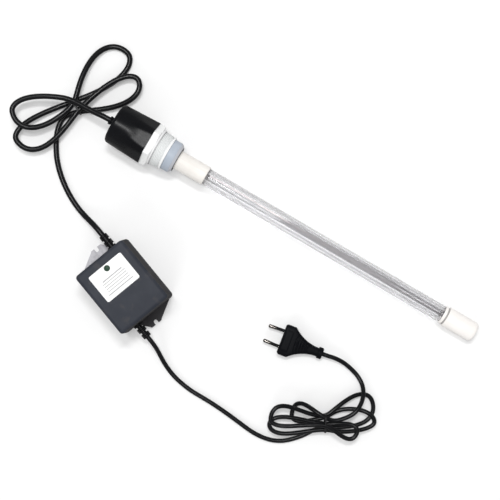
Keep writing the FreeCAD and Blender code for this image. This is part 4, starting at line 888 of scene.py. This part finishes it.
@dataclass(frozen=True)
class Studio:
    """A white table seen from straight above: a key for the shadows, a strip for gloss, a fill and a dome."""

    look_from: Point = (0.1002, 0.1052, 1.320)
    roll: float = math.radians(30.25)
    lens: float = 84.1
    middle: Point = (0.08, 0.10, 0.0)
    lamps: tuple[AreaLamp, ...] = (
        AreaLamp("key", 20.0, 118.0, 3.2, (0.80, 0.24), 0.36),
        AreaLamp("top", 11.0, 164.7, 3.3, (0.30, 1.40), 0.29, True),
        AreaLamp("fill", 58.0, -80.0, 3.0, (1.2, 1.2), 0.09),
    )
    sky: float = 0.56
    climb: Pair = (0.15, 0.75)
    gloss_sky: Pair = (0.12, 0.04)
    table_side: float = 8.0
    table_white: Colour = (0.70, 0.70, 0.70)
    table_glow: float = 0.17
    table_in_gloss: float = 0.32

    def camera(self) -> None:
        """The camera of the photograph."""
        data = bpy.data.cameras.new("camera")
        data.lens = self.lens
        data.sensor_width = 36.0
        data.clip_start = 0.01
        camera = bpy.data.objects.new("camera", data)
        camera.location = self.look_from
        camera.rotation_euler = (0.0, 0.0, self.roll)
        bpy.context.scene.collection.objects.link(camera)
        bpy.context.scene.camera = camera

    def world(self) -> None:
        """An even dome for light; sight sees it white, and gloss sees it dim, dimmest overhead."""
        world = bpy.data.worlds.new("studio")
        bpy.context.scene.world = world
        graph = Graph(world)
        up = graph.apart(graph.add("TexCoord", output="Generated"))[2]
        is_gloss, is_camera, is_through = (
            graph.add("LightPath", output=f"Is {kind} Ray") for kind in ("Glossy", "Camera", "Transmission")
        )
        light = graph.mix(is_gloss, self.sky, graph.ramp(up, *self.climb, *self.gloss_sky))
        strength = graph.mix(graph.math("MAXIMUM", is_camera, is_through), light, 1.0)
        dome = graph.add("Background", None, {"Color": WHITE, "Strength": strength})
        graph.node("OutputWorld", None, {"Surface": dome})

    def floor(self) -> None:
        """The table, white to sight, dimmer to gloss, which keeps the shadows."""
        bpy.ops.object.select_all(action="DESELECT")
        bpy.ops.mesh.primitive_plane_add(size=self.table_side, location=self.middle)
        table = bpy.context.active_object
        table.name = "floor"
        bpy.ops.object.transform_apply(location=True, rotation=True, scale=True)
        paint = bpy.data.materials.new("floor_white")
        graph = Graph(paint)
        diffuse = graph.add("BsdfDiffuse", None, {"Color": (*self.table_white, 1.0)})
        glow = graph.add("Emission", None, {"Strength": self.table_glow})
        lit = graph.add("AddShader", None, {0: diffuse, 1: glow})
        dim = graph.add("Emission", None, {"Strength": self.table_in_gloss})
        is_gloss, is_through = (
            graph.add("LightPath", output=f"Is {kind} Ray") for kind in ("Glossy", "Transmission")
        )
        shown = graph.shaders(is_gloss * (1.0 - is_through), lit, dim)
        graph.node("OutputMaterial", None, {"Surface": shown})
        table.data.materials.append(paint)

    def build(self) -> None:
        """Camera, lamps, world and table."""
        bpy.context.scene.view_settings.view_transform = "Standard"
        self.camera()
        for lamp in self.lamps:
            lamp.hang(Vector(self.middle))
        self.world()
        self.floor()


@dataclass(frozen=True)
class Loop:
    """One drop-shaped loop of a hank, between two passes of its waist."""

    reach: float
    bearing: float
    out_width: float
    back_width: float
    pinch: float
    level: float


@dataclass(frozen=True)
class Hank:
    """Cord folded into loops that all pass one waist.

    A pass is a (place across, layer) pair in steps of the pitch and the rise.
    """

    waist: Point
    heading: float
    pitch: float
    rise: float
    passes: tuple[Pair, ...]
    loops: tuple[Loop, ...]
    entry: tuple[Point, ...]
    leave: tuple[Point, ...]
    loop_steps: int = 12
    climb_start: float = 0.04
    climb_share: float = 0.34

    def crossing(self, number: int) -> Vector:
        """Where the cord passes the waist for the n-th time.

        Args:
            number: Which pass, from 0.

        Returns:
            The place.
        """
        across, level = self.passes[number]
        shift = across * self.pitch
        turn = math.radians(self.heading)
        x, y, z = self.waist
        return Vector((x - math.sin(turn) * shift, y + math.cos(turn) * shift, z + level * self.rise))

    def loop_points(self, number: int) -> list[Vector]:
        """The points of one loop.

        Args:
            number: Which loop, from 0.

        Returns:
            Its points without the two at the waist.
        """
        loop = self.loops[number]
        start, end = self.crossing(number), self.crossing(number + 1)
        top = self.waist[2] + loop.level * self.rise
        turn = math.radians(loop.bearing)
        widest = math.atan(1.0 / math.sqrt(1.0 + loop.pinch))
        peak = math.sin(2.0 * widest) * math.cos(widest) ** loop.pinch
        points = []
        for step in range(1, self.loop_steps):
            share = step / self.loop_steps
            angle = math.pi * (share - 0.5)
            along = loop.reach * math.cos(angle)
            width = loop.out_width if angle < 0 else loop.back_width
            aside = width * abs(math.sin(2.0 * angle)) * math.cos(angle) ** loop.pinch / peak
            near, gone = (start, share) if share < 0.5 else (end, 1.0 - share)
            height = near.z + (top - near.z) * eased((gone - self.climb_start) / self.climb_share)
            x = start.x + (end.x - start.x) * share + along * math.cos(turn) - aside * math.sin(turn)
            y = start.y + (end.y - start.y) * share + along * math.sin(turn) + aside * math.cos(turn)
            points.append(Vector((x, y, height)))
        return points

    def route(self) -> list[Vector]:
        """The way in, the loops between the passes, and the way out.

        Returns:
            The points between the cord's two ends.
        """
        points = [Vector(point) for point in self.entry]
        for number in range(len(self.loops)):
            points += [self.crossing(number), *self.loop_points(number)]
        return [*points, self.crossing(len(self.loops)), *(Vector(point) for point in self.leave)]


LAMP_HANK = Hank(
    waist=(-0.1510, 0.1465, 0.0047), heading=62.6, pitch=0.0070, rise=0.0072,
    passes=((1, 2.1), (0.18, 1), (0.83, 0), (-1, 1), (-1, 0)),
    loops=(
        Loop(0.0683, 220.1, -0.0113, 0.0205, -0.1, 1.8),
        Loop(0.0833, 73.8, 0.0242, -0.0157, -0.1, -0.18),
        Loop(0.0771, 240.3, -0.0089, 0.0195, 0.0, 0.82),
        Loop(0.0760, 57.0, 0.0117, -0.0161, -0.05, 0.82),
    ),
    entry=((-0.1276, 0.1500, 0.0229),),
    leave=(
        (-0.1572, 0.1293, 0.0034), (-0.1564, 0.1161, 0.0033), (-0.1527, 0.1052, 0.0031),
        (-0.1449, 0.0916, 0.0031), (-0.1392, 0.0836, 0.0031), (-0.1307, 0.0743, 0.0031),
        (-0.1189, 0.0642, 0.0031), (-0.1056, 0.0554, 0.0031), (-0.0919, 0.0486, 0.0031),
        (-0.0798, 0.0446, 0.0046), (-0.0690, 0.0423, 0.0098),
    ),
)
MAINS_HANK = Hank(
    waist=(0.2710, -0.0203, 0.0041), heading=30.2, pitch=0.00623, rise=0.00643,
    passes=((-1, 0), (1.18, 1), (-0.1, 2.17), (-0.11, 0.86), (-1.05, 1.05), (0.9, 0), (1.15, 2.16)),
    loops=(
        Loop(0.0589, 54.9, -0.0160, 0.0105, 0.08, -0.19),
        Loop(0.0619, 208.1, -0.0141, 0.0055, 0.79, 2.0),
        Loop(0.0364, 18.0, -0.0103, 0.0063, 0.39, 1.97),
        Loop(0.0632, 208.1, -0.0081, 0.0085, 0.42, 0.92),
        Loop(0.0557, 32.5, -0.0057, 0.0115, -0.48, 0.9),
        Loop(0.0376, 207.6, 0.0062, -0.0145, 0.27, -0.24),
    ),
    entry=(
        (0.0665, -0.0434, 0.0119), (0.0743, -0.0490, 0.0073), (0.0845, -0.0556, 0.0032),
        (0.1006, -0.0621, 0.0025), (0.1225, -0.0656, 0.0025), (0.1426, -0.0654, 0.0025),
        (0.1632, -0.0665, 0.0025), (0.1842, -0.0686, 0.0025), (0.2056, -0.0712, 0.0025),
        (0.2230, -0.0699, 0.0025), (0.2355, -0.0654, 0.0025), (0.2454, -0.0586, 0.0026),
        (0.2562, -0.0467, 0.0026), (0.2613, -0.0389, 0.0029), (0.2656, -0.0318, 0.0034),
    ),
    leave=(
        (0.2765, -0.0131, 0.0159), (0.2835, -0.0074, 0.0159), (0.2916, 0.0033, 0.0159),
        (0.2939, 0.0110, 0.0156), (0.2943, 0.0193, 0.0136), (0.2926, 0.0275, 0.0108),
        (0.2891, 0.0343, 0.0072), (0.2836, 0.0399, 0.0042), (0.2754, 0.0443, 0.0025),
        (0.2649, 0.0473, 0.0032), (0.2538, 0.0490, 0.0054), (0.2434, 0.0483, 0.00685),
    ),
)


def gland_frame(side: int) -> Matrix:
    """A gland's frame on the box's wall, X pointing out: 1 is the lamp's side, -1 the mains side."""
    spot = Matrix.Translation((-side * 0.042, side * 0.0165, 0.014))
    return BALLAST_FRAME @ spot @ Matrix.Rotation(math.pi if side > 0 else 0.0, 4, "Z")


@dataclass(frozen=True)
class End:
    """An end of a cord on a frame's X axis: the mouth that it leaves, and its first point outside."""

    home: Matrix
    mouth: float
    off: float

    def points(self) -> list[Vector]:
        """The mouth and the point outside."""
        return [self.home @ Vector((x, 0.0, 0.0)) for x in (self.mouth, self.off)]


@dataclass(frozen=True)
class Cord:
    """A round cord, one smooth curve from end to end, with a tie round the waist of its hank.

    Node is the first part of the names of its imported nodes, and loose counts the passes outside its tie.
    """

    name: str
    node: str
    slot: str
    diameter: float
    length: float
    hank: Hank
    start: End
    end: End
    far_end: str
    loose: int = 0
    tie_width: float = 0.0020
    tie_gap: float = 0.0010
    tie_thickness: float = 0.0006
    tie_ring: float = 0.010

    def curve(self, points: Sequence[Vector]) -> Piece:
        """One open spline with the route's points as its control points.

        Args:
            points: The points from end to end.

        Returns:
            The cord.
        """
        data = bpy.data.curves.new(self.name, "CURVE")
        data.dimensions = "3D"
        data.bevel_depth = self.diameter / 2
        data.bevel_resolution = 5
        data.resolution_u = 6
        data.use_fill_caps = True
        spline = data.splines.new("NURBS")
        spline.points.add(len(points) - 1)
        for place, point in zip(spline.points, points):
            place.co = (*point, 1.0)
        spline.order_u = 3
        spline.use_endpoint_u = True
        cord = bpy.data.objects.new(self.name, data)
        bpy.context.scene.collection.objects.link(cord)
        return cord

    def tie(self) -> Piece:
        """A strap drawn in round the strands at the waist.

        Returns:
            The strap.
        """
        hank = self.hank
        half, inner, outer = self.tie_width / 2, self.tie_ring, self.tie_ring + self.tie_thickness
        corners = [(-half, inner), (half, inner), (half, outer), (-half, outer)]
        obj = Bench.turn(f"{self.name}_tie", corners, 72)
        centres = [
            Vector((0.0, across * hank.pitch, level * hank.rise))
            for across, level in hank.passes[self.loose:]
        ]
        middle = sum(centres, Vector()) / len(centres)

        def reach(way: Vector) -> float:
            """How far the strands' centres reach from their middle in a direction."""
            return max((centre - middle).dot(way) for centre in centres)

        def onto_strands(point: Vector) -> Vector:
            """Draws a point of the ring in until it rests on the strands."""
            radial = Vector((0.0, point.y, point.z))
            way = radial.normalized()
            cover = self.tie_thickness if radial.length > (inner + outer) / 2 else 0.0
            sideways = Vector((0.0, -way.z, way.y))
            step = 0.01
            slope = (reach((way + sideways * step).normalized()) - reach(way)) / step
            spot = middle + way * (reach(way) + self.diameter / 2 + self.tie_gap + cover) + sideways * slope
            return Vector((point.x, spot.y, spot.z))

        Bench.reshape(obj, onto_strands)
        place = Matrix.Translation(hank.waist) @ Matrix.Rotation(math.radians(hank.heading), 4, "Z")
        return Bench.set_down(obj, place, 60.0)

    def build(self, shop: Paintshop, pieces: Sequence[Piece] = ()) -> None:
        """Lays the cord and its tie.

        Args:
            shop: Where they are painted.
            pieces: The pieces at its far end; not used.
        """
        first, last = self.start.points(), self.end.points()
        cord = shop.hand_over(self.curve([*first, *self.hank.route(), *reversed(last)]), self.slot, Body.ROOT,
                              f"{self.node}_a", f"{self.node}_hank", f"{self.node}_b")
        tie = shop.hand_over(self.tie(), "tie_plastic", Body.ROOT, f"{self.node}_tie")
        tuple(first[0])


@dataclass
class LampHead:
    """The rubber boot, the threaded plug and the cone seal."""

    boot_length: float = 0.0450
    boot_rear: float = 0.0234
    boot_front: float = 0.0252
    boot_flat: float = 0.0232
    boot_rounding: float = 0.0035
    boot_wall: float = 0.0040
    kink: float = 0.0300
    kink_run: float = 0.0180
    pressed_softness: float = 0.00015
    socket_flat: float = 0.0210
    nub_radius: float = 0.0049
    nub_length: float = 0.0060
    nub_waist: float = 0.0006
    cord_bore: float = 0.0033
    boss_length: float = 0.0160
    boss_radius: float = 0.0230
    boss_flat: float = 0.0208
    plug_bore: float = 0.0160
    flange_length: float = 0.0075
    flange_radius: float = 0.0250
    flange_flat: float = 0.0217
    flange_chamfer: Pair = (0.0013, 0.0016)
    neck: float = 0.0173
    thread_start: float = 0.0107
    thread_end: float = 0.0205
    thread_turns: int = 6
    thread_depth: float = 0.0005
    crest: float = 0.0200
    groove: float = 0.0183
    ring_start: float = 0.0214
    ring: float = 0.0198
    head_end: float = 0.0240
    seal_profile: tuple[Pair, ...] = (
        (0.0200, 0.0113), (0.0200, 0.0157), (0.0240, 0.0157), (0.0240, 0.0180), (0.0328, 0.0180),
        (0.0365, 0.0142), (0.0365, 0.0123), (0.0270, 0.0123), (0.0270, 0.0113),
    )

    def boot(self) -> Piece:
        """A rubber cup, round at its rear and drawn over the plug's hexagon at its front.

        Returns:
            The boot.
        """
        rear, tip = -self.boot_length, -self.boot_length - self.nub_length
        floor, nub, waist = rear + self.boot_wall, self.nub_radius, self.nub_radius - self.nub_waist
        rounded = quarter(-rear, self.boot_rear, self.boot_rounding, 6)
        corner = [(-x, radius) for x, radius in reversed(rounded)]
        front = (-0.0003, self.boot_front)
        obj = Bench.turn("lamp_boot", [
            (tip, self.cord_bore), (tip, nub - 0.0005), (tip + 0.0005, nub), (tip + 0.0022, nub),
            (tip + 0.0028, waist), (rear - 0.0010, waist), (rear - 0.0003, nub), (rear, nub + 0.0012),
            *corner, *even((rear + self.boot_rounding, self.boot_rear), front, 34)[1:], front,
            (0.0, self.boot_front - 0.0004), (0.0, self.boot_flat), (-self.boss_length, self.boot_flat),
            (-self.boss_length, self.plug_bore), (floor, self.plug_bore), (floor, self.cord_bore),
        ])

        def press(x: float, radius: float, angle: float) -> float:
            """Presses the underside flat and lets the plug's hexagon show through towards the front."""
            if radius < 0.0195 or x < rear:
                return radius
            if abs(radius - self.boot_flat) < 10 * TINY and x > -self.boss_length - TINY:
                return min(self.boot_flat, hexagon_reach(angle, self.socket_flat))
            share = max(eased((x + self.kink) / self.kink_run), eased(-math.sin(angle) / 0.25))
            pressed = lesser(radius, hexagon_reach(angle, self.boot_flat), self.pressed_softness)
            return radius + (pressed - radius) * share

        Bench.rering(obj, press)
        return Bench.set_down(obj, LAMP_FRAME, 50.0)

    def threaded_plug(self) -> Piece:
        """Hexagonal boss and flange, neck, a true helical thread, groove and end ring.

        Returns:
            The plug.
        """
        root = self.crest - self.thread_depth
        pitch = (self.thread_end - self.thread_start) / self.thread_turns
        long, deep = self.flange_chamfer
        chamfer = even((self.flange_length - long, self.flange_radius),
                       (self.flange_length, self.flange_radius - deep), 4)
        obj = Bench.turn("lamp_head_plug", [
            (-self.boss_length, self.plug_bore), (-self.boss_length, self.boss_radius),
            (0.0, self.boss_radius), (0.0, self.flange_radius - 0.0006), (0.0006, self.flange_radius),
            *chamfer, (self.flange_length, self.flange_radius - deep), (self.flange_length, self.neck),
            (self.thread_start, self.neck),
            *even((self.thread_start, root), (self.thread_end, root), self.thread_turns * 22),
            (self.thread_end, root), (self.thread_end + 0.0001, self.groove), (self.ring_start, self.groove),
            (self.ring_start + 0.0001, self.ring - 0.0004), (self.ring_start + 0.0004, self.ring),
            (self.head_end - 0.0004, self.ring), (self.head_end, self.ring - 0.0004),
            (self.head_end, self.plug_bore),
        ])

        def form(x: float, radius: float, angle: float) -> float:
            """Flats on the boss and the flange, and the thread's ridge."""
            if x < -TINY and radius > 0.0200:
                return min(radius, hexagon_reach(angle, self.boss_flat))
            if -TINY <= x <= self.flange_length + TINY and radius > 0.0225:
                on_boss = radius < self.boss_radius + 0.0001 and x < TINY
                return min(radius, hexagon_reach(angle, self.boss_flat if on_boss else self.flange_flat))
            if abs(radius - root) > TINY or not self.thread_start + TINY < x < self.thread_end - TINY:
                return radius
            turns = (x - self.thread_start) / pitch
            phase = turns - angle / (2.0 * math.pi)
            ridge = eased((abs(phase - round(phase)) - 0.02) / 0.26)
            ends = eased(turns * 1.2) * eased((self.thread_end - x) / pitch * 1.2)
            return self.crest - self.thread_depth * (1.0 - ridge * ends)

        Bench.rering(obj, form)
        return Bench.set_down(obj, LAMP_FRAME, 32.0)

    def cone_seal(self) -> Piece:
        """The silicone seal with softly rounded edges.

        Returns:
            The seal.
        """
        obj = Bench.turn("lamp_cone_seal", self.seal_profile)
        Bench.round_edges(obj, 0.0005, 3, 30.0)
        return Bench.set_down(obj, LAMP_FRAME, 40.0)

    def build(self, shop: Paintshop) -> None:
        """Makes the head's pieces.

        Args:
            shop: Where they are painted.
        """
        shop.hand_over(self.boot(), "boot_rubber", Body.ROOT, "rubber_boot")
        shop.hand_over(self.threaded_plug(), "head_plastic", Body.ROOT, "threaded_plug")
        shop.hand_over(self.cone_seal(), "seal_silicone", Body.SEAL, "cone_seal")


@dataclass
class QuartzLamp:
    """The lamp that pulls out of the head: near base, tube, collar and far cap."""

    base_rear: float = 0.0163
    base_end: float = 0.0728
    base_radius: float = 0.0110
    base_bore: float = 0.0040
    flutes: int = 36
    flute_depth: float = 0.00012
    seat: float = 0.0096
    tube_start: float = 0.0608
    tube_shown: float = 0.3780
    tube_end: float = 0.3900
    tube_radius: float = 0.0095
    tube_bore: float = 0.0083
    collar_end: float = 0.3830
    collar_radius: float = 0.0102
    cap_end: float = 0.4204
    cap_radius: float = 0.0113
    cap_bore: float = 0.0060
    cap_face: float = 0.0080
    notch: Point = (0.3985, -0.0112, 0.0014)
    notch_size: Point = (0.0078, 0.0022, 0.0020)
    notch_lean: float = math.radians(-8.0)

    def base(self) -> Piece:
        """The near ceramic base with faint flutes.

        Returns:
            The base.
        """
        end, radius = self.base_end, self.base_radius
        obj = Bench.turn("lamp_near_base", [
            (self.base_rear, self.base_bore), *even((self.base_rear, radius), (end, radius), 28),
            (end - 0.0005, radius), (end, radius - 0.0005), (end, self.seat), (self.tube_start, self.seat),
            (self.tube_start, self.base_bore),
        ], 144)

        def flute(x: float, reach: float, angle: float) -> float:
            """Draws shallow flutes between the seal and the mouth."""
            if reach < radius - 10 * TINY:
                return reach
            share = eased((x - 0.036) / 0.004) * eased((end - 0.0015 - x) / 0.004)
            return reach - self.flute_depth * share * (0.5 - 0.5 * math.cos(self.flutes * angle))

        Bench.rering(obj, flute)
        return Bench.set_down(obj, LAMP_FRAME, 40.0)

    def tube(self) -> Piece:
        """The clear tube, its rims melted round, with a chart along and round it.

        Returns:
            The tube.
        """
        rim = (self.tube_radius - self.tube_bore) / 2
        middle = self.tube_bore + rim
        first, last = self.tube_start + rim, self.tube_end - rim
        angles = [math.radians(30 * n) for n in range(1, 6)]
        obj = Bench.turn("lamp_quartz_tube", [
            *((first - rim * math.sin(angle), middle - rim * math.cos(angle)) for angle in angles),
            *even((first, self.tube_radius), (last, self.tube_radius), 40), (last, self.tube_radius),
            *((last + rim * math.sin(angle), middle + rim * math.cos(angle)) for angle in angles),
            *even((last, self.tube_bore), (first, self.tube_bore), 40), (first, self.tube_bore),
        ], 160)
        chart = obj.data.uv_layers.new(name="along_and_round")
        length = self.tube_end - self.tube_start
        for corner in obj.data.loops:
            point = obj.data.vertices[corner.vertex_index].co
            around = math.atan2(point.y, point.z) / (2.0 * math.pi) + 0.5
            chart.data[corner.index].uv = ((point.x - self.tube_start) / length, around)
        return Bench.set_down(obj, LAMP_FRAME, 60.0)

    def collar(self) -> Piece:
        """The collar, with a groove before the cap.

        Returns:
            The collar.
        """
        start, radius, low = self.tube_shown, self.collar_radius, self.seat + 0.0001
        obj = Bench.turn("lamp_far_collar", [
            (start, self.seat), (start, radius - 0.0004), (start + 0.0005, radius), (start + 0.0030, radius),
            (start + 0.0034, low), (self.collar_end, low), (self.collar_end, self.seat),
        ])
        return Bench.set_down(obj, LAMP_FRAME, 35.0)

    def cap(self) -> Piece:
        """The far ceramic cap with a rounded end and a small notch low on its flank.

        Returns:
            The cap.
        """
        start, radius = self.collar_end, self.cap_radius
        obj = Bench.turn("lamp_far_cap", [
            (self.cap_end - self.cap_face, self.cap_bore), (self.tube_end, self.cap_bore),
            (self.tube_end, self.seat), (start, self.seat), (start, radius - 0.0004),
            *even((start + 0.0004, radius), (self.cap_end - 0.0045, radius), 12),
            *quarter(self.cap_end, radius, 0.0040, 8), (self.cap_end, 0.0040),
        ], ends=True)
        bpy.ops.object.select_all(action="DESELECT")
        bpy.ops.mesh.primitive_cube_add(size=1.0, location=self.notch, rotation=(self.notch_lean, 0.0, 0.0),
                                        scale=self.notch_size)
        Bench.cut(obj, bpy.context.active_object)
        return Bench.set_down(obj, LAMP_FRAME, 40.0)

    def build(self, shop: Paintshop) -> None:
        """Makes the lamp's pieces.

        Args:
            shop: Where they are painted.
        """
        shop.hand_over(self.base(), "base_ceramic", Body.LAMP, "lamp_base")
        shop.hand_over(self.tube(), "quartz_glass", Body.LAMP, "quartz_tube")
        shop.hand_over(self.collar(), "cap_ceramic", Body.LAMP, "far_collar")
        shop.hand_over(self.cap(), "cap_ceramic", Body.LAMP, "far_cap")


@dataclass
class BallastBox:
    """What shows on the ballast box beside its packed tray and cover."""

    height: float = 0.0520
    lens_place: Pair = (-0.0259, 0.0009)
    lens_radius: float = 0.0033
    lens_foot: float = 0.0046
    lens_depth: float = 0.0022
    gland_foot: tuple[Pair, ...] = (
        (-0.0051, 0.0068), (-0.0031, 0.0068), (-0.0031, 0.0048), (0.0, 0.0048), (0.0, 0.0056),
        (0.0006, 0.0056),
    )
    gland_radius: float = 0.0053
    gland_tip: float = 0.0047
    gland_length: float = 0.0180
    windows: int = 4
    window_start: float = 0.0024
    window_pitch: float = 0.0038
    window_length: float = 0.0023
    window_edge: float = 0.0002
    web: float = 0.0015

    def lens(self) -> Piece:
        """The domed indicator lens with its rim.

        Returns:
            The lens.
        """
        top, radius, foot = self.height, self.lens_radius, self.height - self.lens_depth
        obj = Bench.turn("ballast_lens", [
            (foot - 0.0015, self.lens_foot), (foot, self.lens_foot), (foot, radius), (top + 0.0005, radius),
            (top + 0.0008, radius - 0.0003), (top + 0.0008, radius - 0.0008), (top + 0.0005, radius - 0.0011),
            (top + 0.00055, 0.0018), (top + 0.00075, 0.0010), (top + 0.0008, 0.0003),
        ], 48, ends=True)
        place = BALLAST_FRAME @ Matrix.Translation((*self.lens_place, 0.0)) @ UPRIGHT
        return Bench.set_down(obj, place, 40.0)

    def gland(self, name: str, side: int, cord_radius: float) -> Piece:
        """A ribbed sleeve on the cord, tapered, with windows by turns upright and level.

        Args:
            name: The sleeve's name.
            side: 1 on the lamp's side, -1 on the mains side.
            cord_radius: The radius of the cord in it.

        Returns:
            The sleeve.
        """
        bore = cord_radius + 0.00005
        core = cord_radius + 0.0004
        edge, length = self.window_edge, self.window_length
        starts = [self.window_start + n * self.window_pitch for n in range(self.windows)]
        places = [start + off for start in starts for off in (0.0, edge, length - edge, length)]
        taper = (self.gland_tip - self.gland_radius) / self.gland_length
        obj = Bench.turn(name, [
            (self.gland_foot[0][0], bore), *self.gland_foot,
            *((x, self.gland_radius + taper * x) for x in places),
            (self.gland_length - 0.0004, self.gland_tip), (self.gland_length, self.gland_tip - 0.0004),
            (self.gland_length, bore),
        ], 64)

        def open_windows(x: float, radius: float, angle: float) -> float:
            """Sinks the sleeve to the cord beside each web."""
            n, rest = divmod(x - self.window_start + TINY / 10, self.window_pitch)
            in_window = 0 <= n < self.windows and edge * 0.5 < rest < length - edge * 0.5
            if radius < 0.0045 or not in_window:
                return radius
            across = abs(math.sin(angle) if n % 2 else math.cos(angle))
            return radius if across < self.web / self.gland_radius else core

        Bench.rering(obj, open_windows)
        return Bench.set_down(obj, gland_frame(side), 35.0)

    def build(self, shop: Paintshop) -> None:
        """Makes the box's pieces.

        Args:
            shop: Where they are painted.
        """
        shop.hand_over(self.lens(), "lens_green", Body.ROOT, "indicator_lens")
        for cord, side, cord_radius in (("lamp", 1, 0.0031), ("mains", -1, 0.0025)):
            gland = self.gland(f"{cord}_side_gland", side, cord_radius)
            shop.hand_over(gland, "gland_rubber", Body.ROOT, f"{cord}_cord_gland")


@dataclass
class MainsPlug:
    """The flat moulded two-pin plug."""

    head_length: float = 0.0116
    half_width: float = 0.01765
    half_thickness: float = 0.00685
    panel_rise: float = 0.0004
    panel: tuple[float, float, float] = (0.0022, 0.0102, 0.0120)
    socket_depth: float = 0.0081
    socket_half: Pair = (0.01355, 0.00455)
    flare_end: float = 0.0430
    length: float = 0.0486
    neck: float = 0.0050
    ring: float = 0.0066
    grooves: int = 6
    groove_start: float = 0.0166
    groove_pitch: float = 0.00308
    groove_width: float = 0.0014
    groove_depth: float = 0.0008
    groove_slant: float = 0.16
    pins_apart: float = 0.0186
    pin_length: float = 0.0190
    pin_radius: float = 0.0020
    pin_core: float = 0.0015
    sleeve: float = 0.0100
    lean: float = math.asin(0.00055 / 0.0190)

    def half_width_at(self, x: float) -> float:
        """Half the head's width: straight, then drawn in by a hollow flank to the neck.

        Args:
            x: The place along the plug.

        Returns:
            Half the width there.
        """
        if x <= self.head_length:
            return self.half_width
        drawn = self.half_width - self.neck
        run = self.flare_end - self.head_length
        flank = (drawn * drawn + run * run) / (2.0 * drawn)
        off = self.flare_end - x
        return self.neck + flank - math.sqrt(max(0.0, flank * flank - off * off))

    def body(self) -> Piece:
        """The head with a raised panel, slanted grip ribs, a ring collar and the bridge's socket.

        The profile is a unit ring, its inner stations told apart by a radius that is a little smaller.

        Returns:
            The body.
        """
        outside = [0.0006 * n for n in range(1, 28)]
        outside += [x for x, _ in even((0.0168, 1.0), (self.flare_end, 1.0), 78)]
        outside += [self.flare_end, 0.0436, 0.0440, 0.0444, 0.0480]
        obj = Bench.turn("mains_plug_body", [
            (self.socket_depth, 0.997), (0.0, 0.997), (0.0, 0.998), *((x, 1.0) for x in outside),
            (self.length, 0.999),
        ], ends=True)

        def section(x: float, unit: float) -> tuple[float, float, float]:
            """Half the width, half the thickness and the squareness of the plug's section at a place."""
            if unit < 0.9975 and x < self.socket_depth + 0.0001:
                return *self.socket_half, 14.0
            if x > self.flare_end + 0.0003:
                wide = self.ring if x < self.length - 0.0001 else self.ring - 0.0006
                return wide, wide, 2.0
            front = 1.0 - (eased(x / 0.0020) if unit > 0.9985 else 0.0)
            draw = eased((x - self.head_length) / (self.flare_end - self.head_length))
            thick = self.half_thickness - self.panel_rise - 0.0012 * front - 0.0010 * draw
            return self.half_width_at(x) - 0.0014 * front, thick, 7.0 - 4.0 * draw

        def form(point: Vector) -> Vector:
            """Puts a unit ring on the plug's section at its place."""
            unit = math.hypot(point.y, point.z)
            wide, thick, power = section(point.x, unit)
            y, z = (
                half * math.copysign(abs(share / unit) ** (2.0 / power), share)
                for half, share in ((wide, point.y), (thick, point.z))
            )
            if unit > 0.9985 and point.x < self.flare_end and abs(z) > thick * 0.6:
                start, end, half = self.panel
                panel = eased((point.x - start) / 0.0006) * eased((end - point.x) / 0.0006)
                z += math.copysign(self.panel_rise * panel * eased((half - abs(y)) / 0.0006), z)
            slanted = point.x - self.groove_slant * abs(y) + 0.0010 - self.groove_start
            n = round(slanted / self.groove_pitch)
            if unit > 0.9985 and point.x > self.groove_start - 0.0012 and 0 <= n < self.grooves:
                dip = eased((self.groove_width * 0.65 - abs(slanted - n * self.groove_pitch)) / 0.0005)
                z -= math.copysign(self.groove_depth * dip * eased((abs(z) / thick - 0.2) / 0.3), z)
            return Vector((point.x, y, z))

        Bench.reshape(obj, form)
        return Bench.set_down(obj, PLUG_FRAME, 38.0)

    def pin(self, name: str, side: int) -> Piece:
        """A round pin with a rounded tip, thinner under its sleeve.

        Args:
            name: The pin's name.
            side: 1 towards the plug's +Y, -1 away from it.

        Returns:
            The pin.
        """
        radius = self.pin_radius
        angles = [math.radians(angle) for angle in (12, 30, 48, 66, 90)]
        tip = [(-self.pin_length + radius * (1 - math.cos(a)) * 0.8, radius * math.sin(a)) for a in angles]
        obj = Bench.turn(name, [
            *tip, (-self.sleeve - 0.0001, radius), (-self.sleeve, radius - 0.0001),
            (-self.sleeve, self.pin_core), (0.0060, self.pin_core),
        ], 48, ends=True)
        place = PLUG_FRAME @ Matrix.Translation((0.0, side * self.pins_apart / 2, 0.0))
        return Bench.set_down(obj, place @ Matrix.Rotation(side * self.lean, 4, "Z"), 40.0)

    def build(self, shop: Paintshop) -> list[Piece]:
        """Makes the plug's pieces.

        Args:
            shop: Where they are painted.

        Returns:
            All the pieces that hang on the mains cord.
        """
        pieces = [shop.hand_over(self.body(), "plug_rubber", Body.ROOT, "plug_body")]
        for name, side in (("mains_pin_left", 1), ("mains_pin_right", -1)):
            pieces.append(shop.hand_over(self.pin(name, side), "pin_nickel", Body.ROOT, "plug_pins"))
        return [*pieces, frame["nodes"]["plug_bridge"], frame["nodes"]["pin_sleeves"]]


def main() -> None:
    """Builds the studio, the cords and the pieces in order."""
    logging.basicConfig(level=logging.INFO, format="%(name)s %(message)s")
    Studio().build()
    shop = Paintshop(FINISHES)
    shop.paint_nodes()
    Cord("lamp_cord", "lamp_lead", "lead_jacket", 0.0062, 0.932, LAMP_HANK, End(LAMP_FRAME, -0.051, -0.0582),
         End(gland_frame(1), 0.018, 0.027), "object", loose=1).build(shop)
    plug_pieces = MainsPlug().build(shop)
    Cord("mains_cord", "mains_lead", "mains_jacket", 0.0050, 1.105, MAINS_HANK,
         End(gland_frame(-1), 0.018, 0.026), End(PLUG_FRAME, 0.0486, 0.0546), "plug").build(shop, plug_pieces)
    LampHead().build(shop)
    QuartzLamp().build(shop)
    BallastBox().build(shop)


if __name__ == "__main__":
    main()
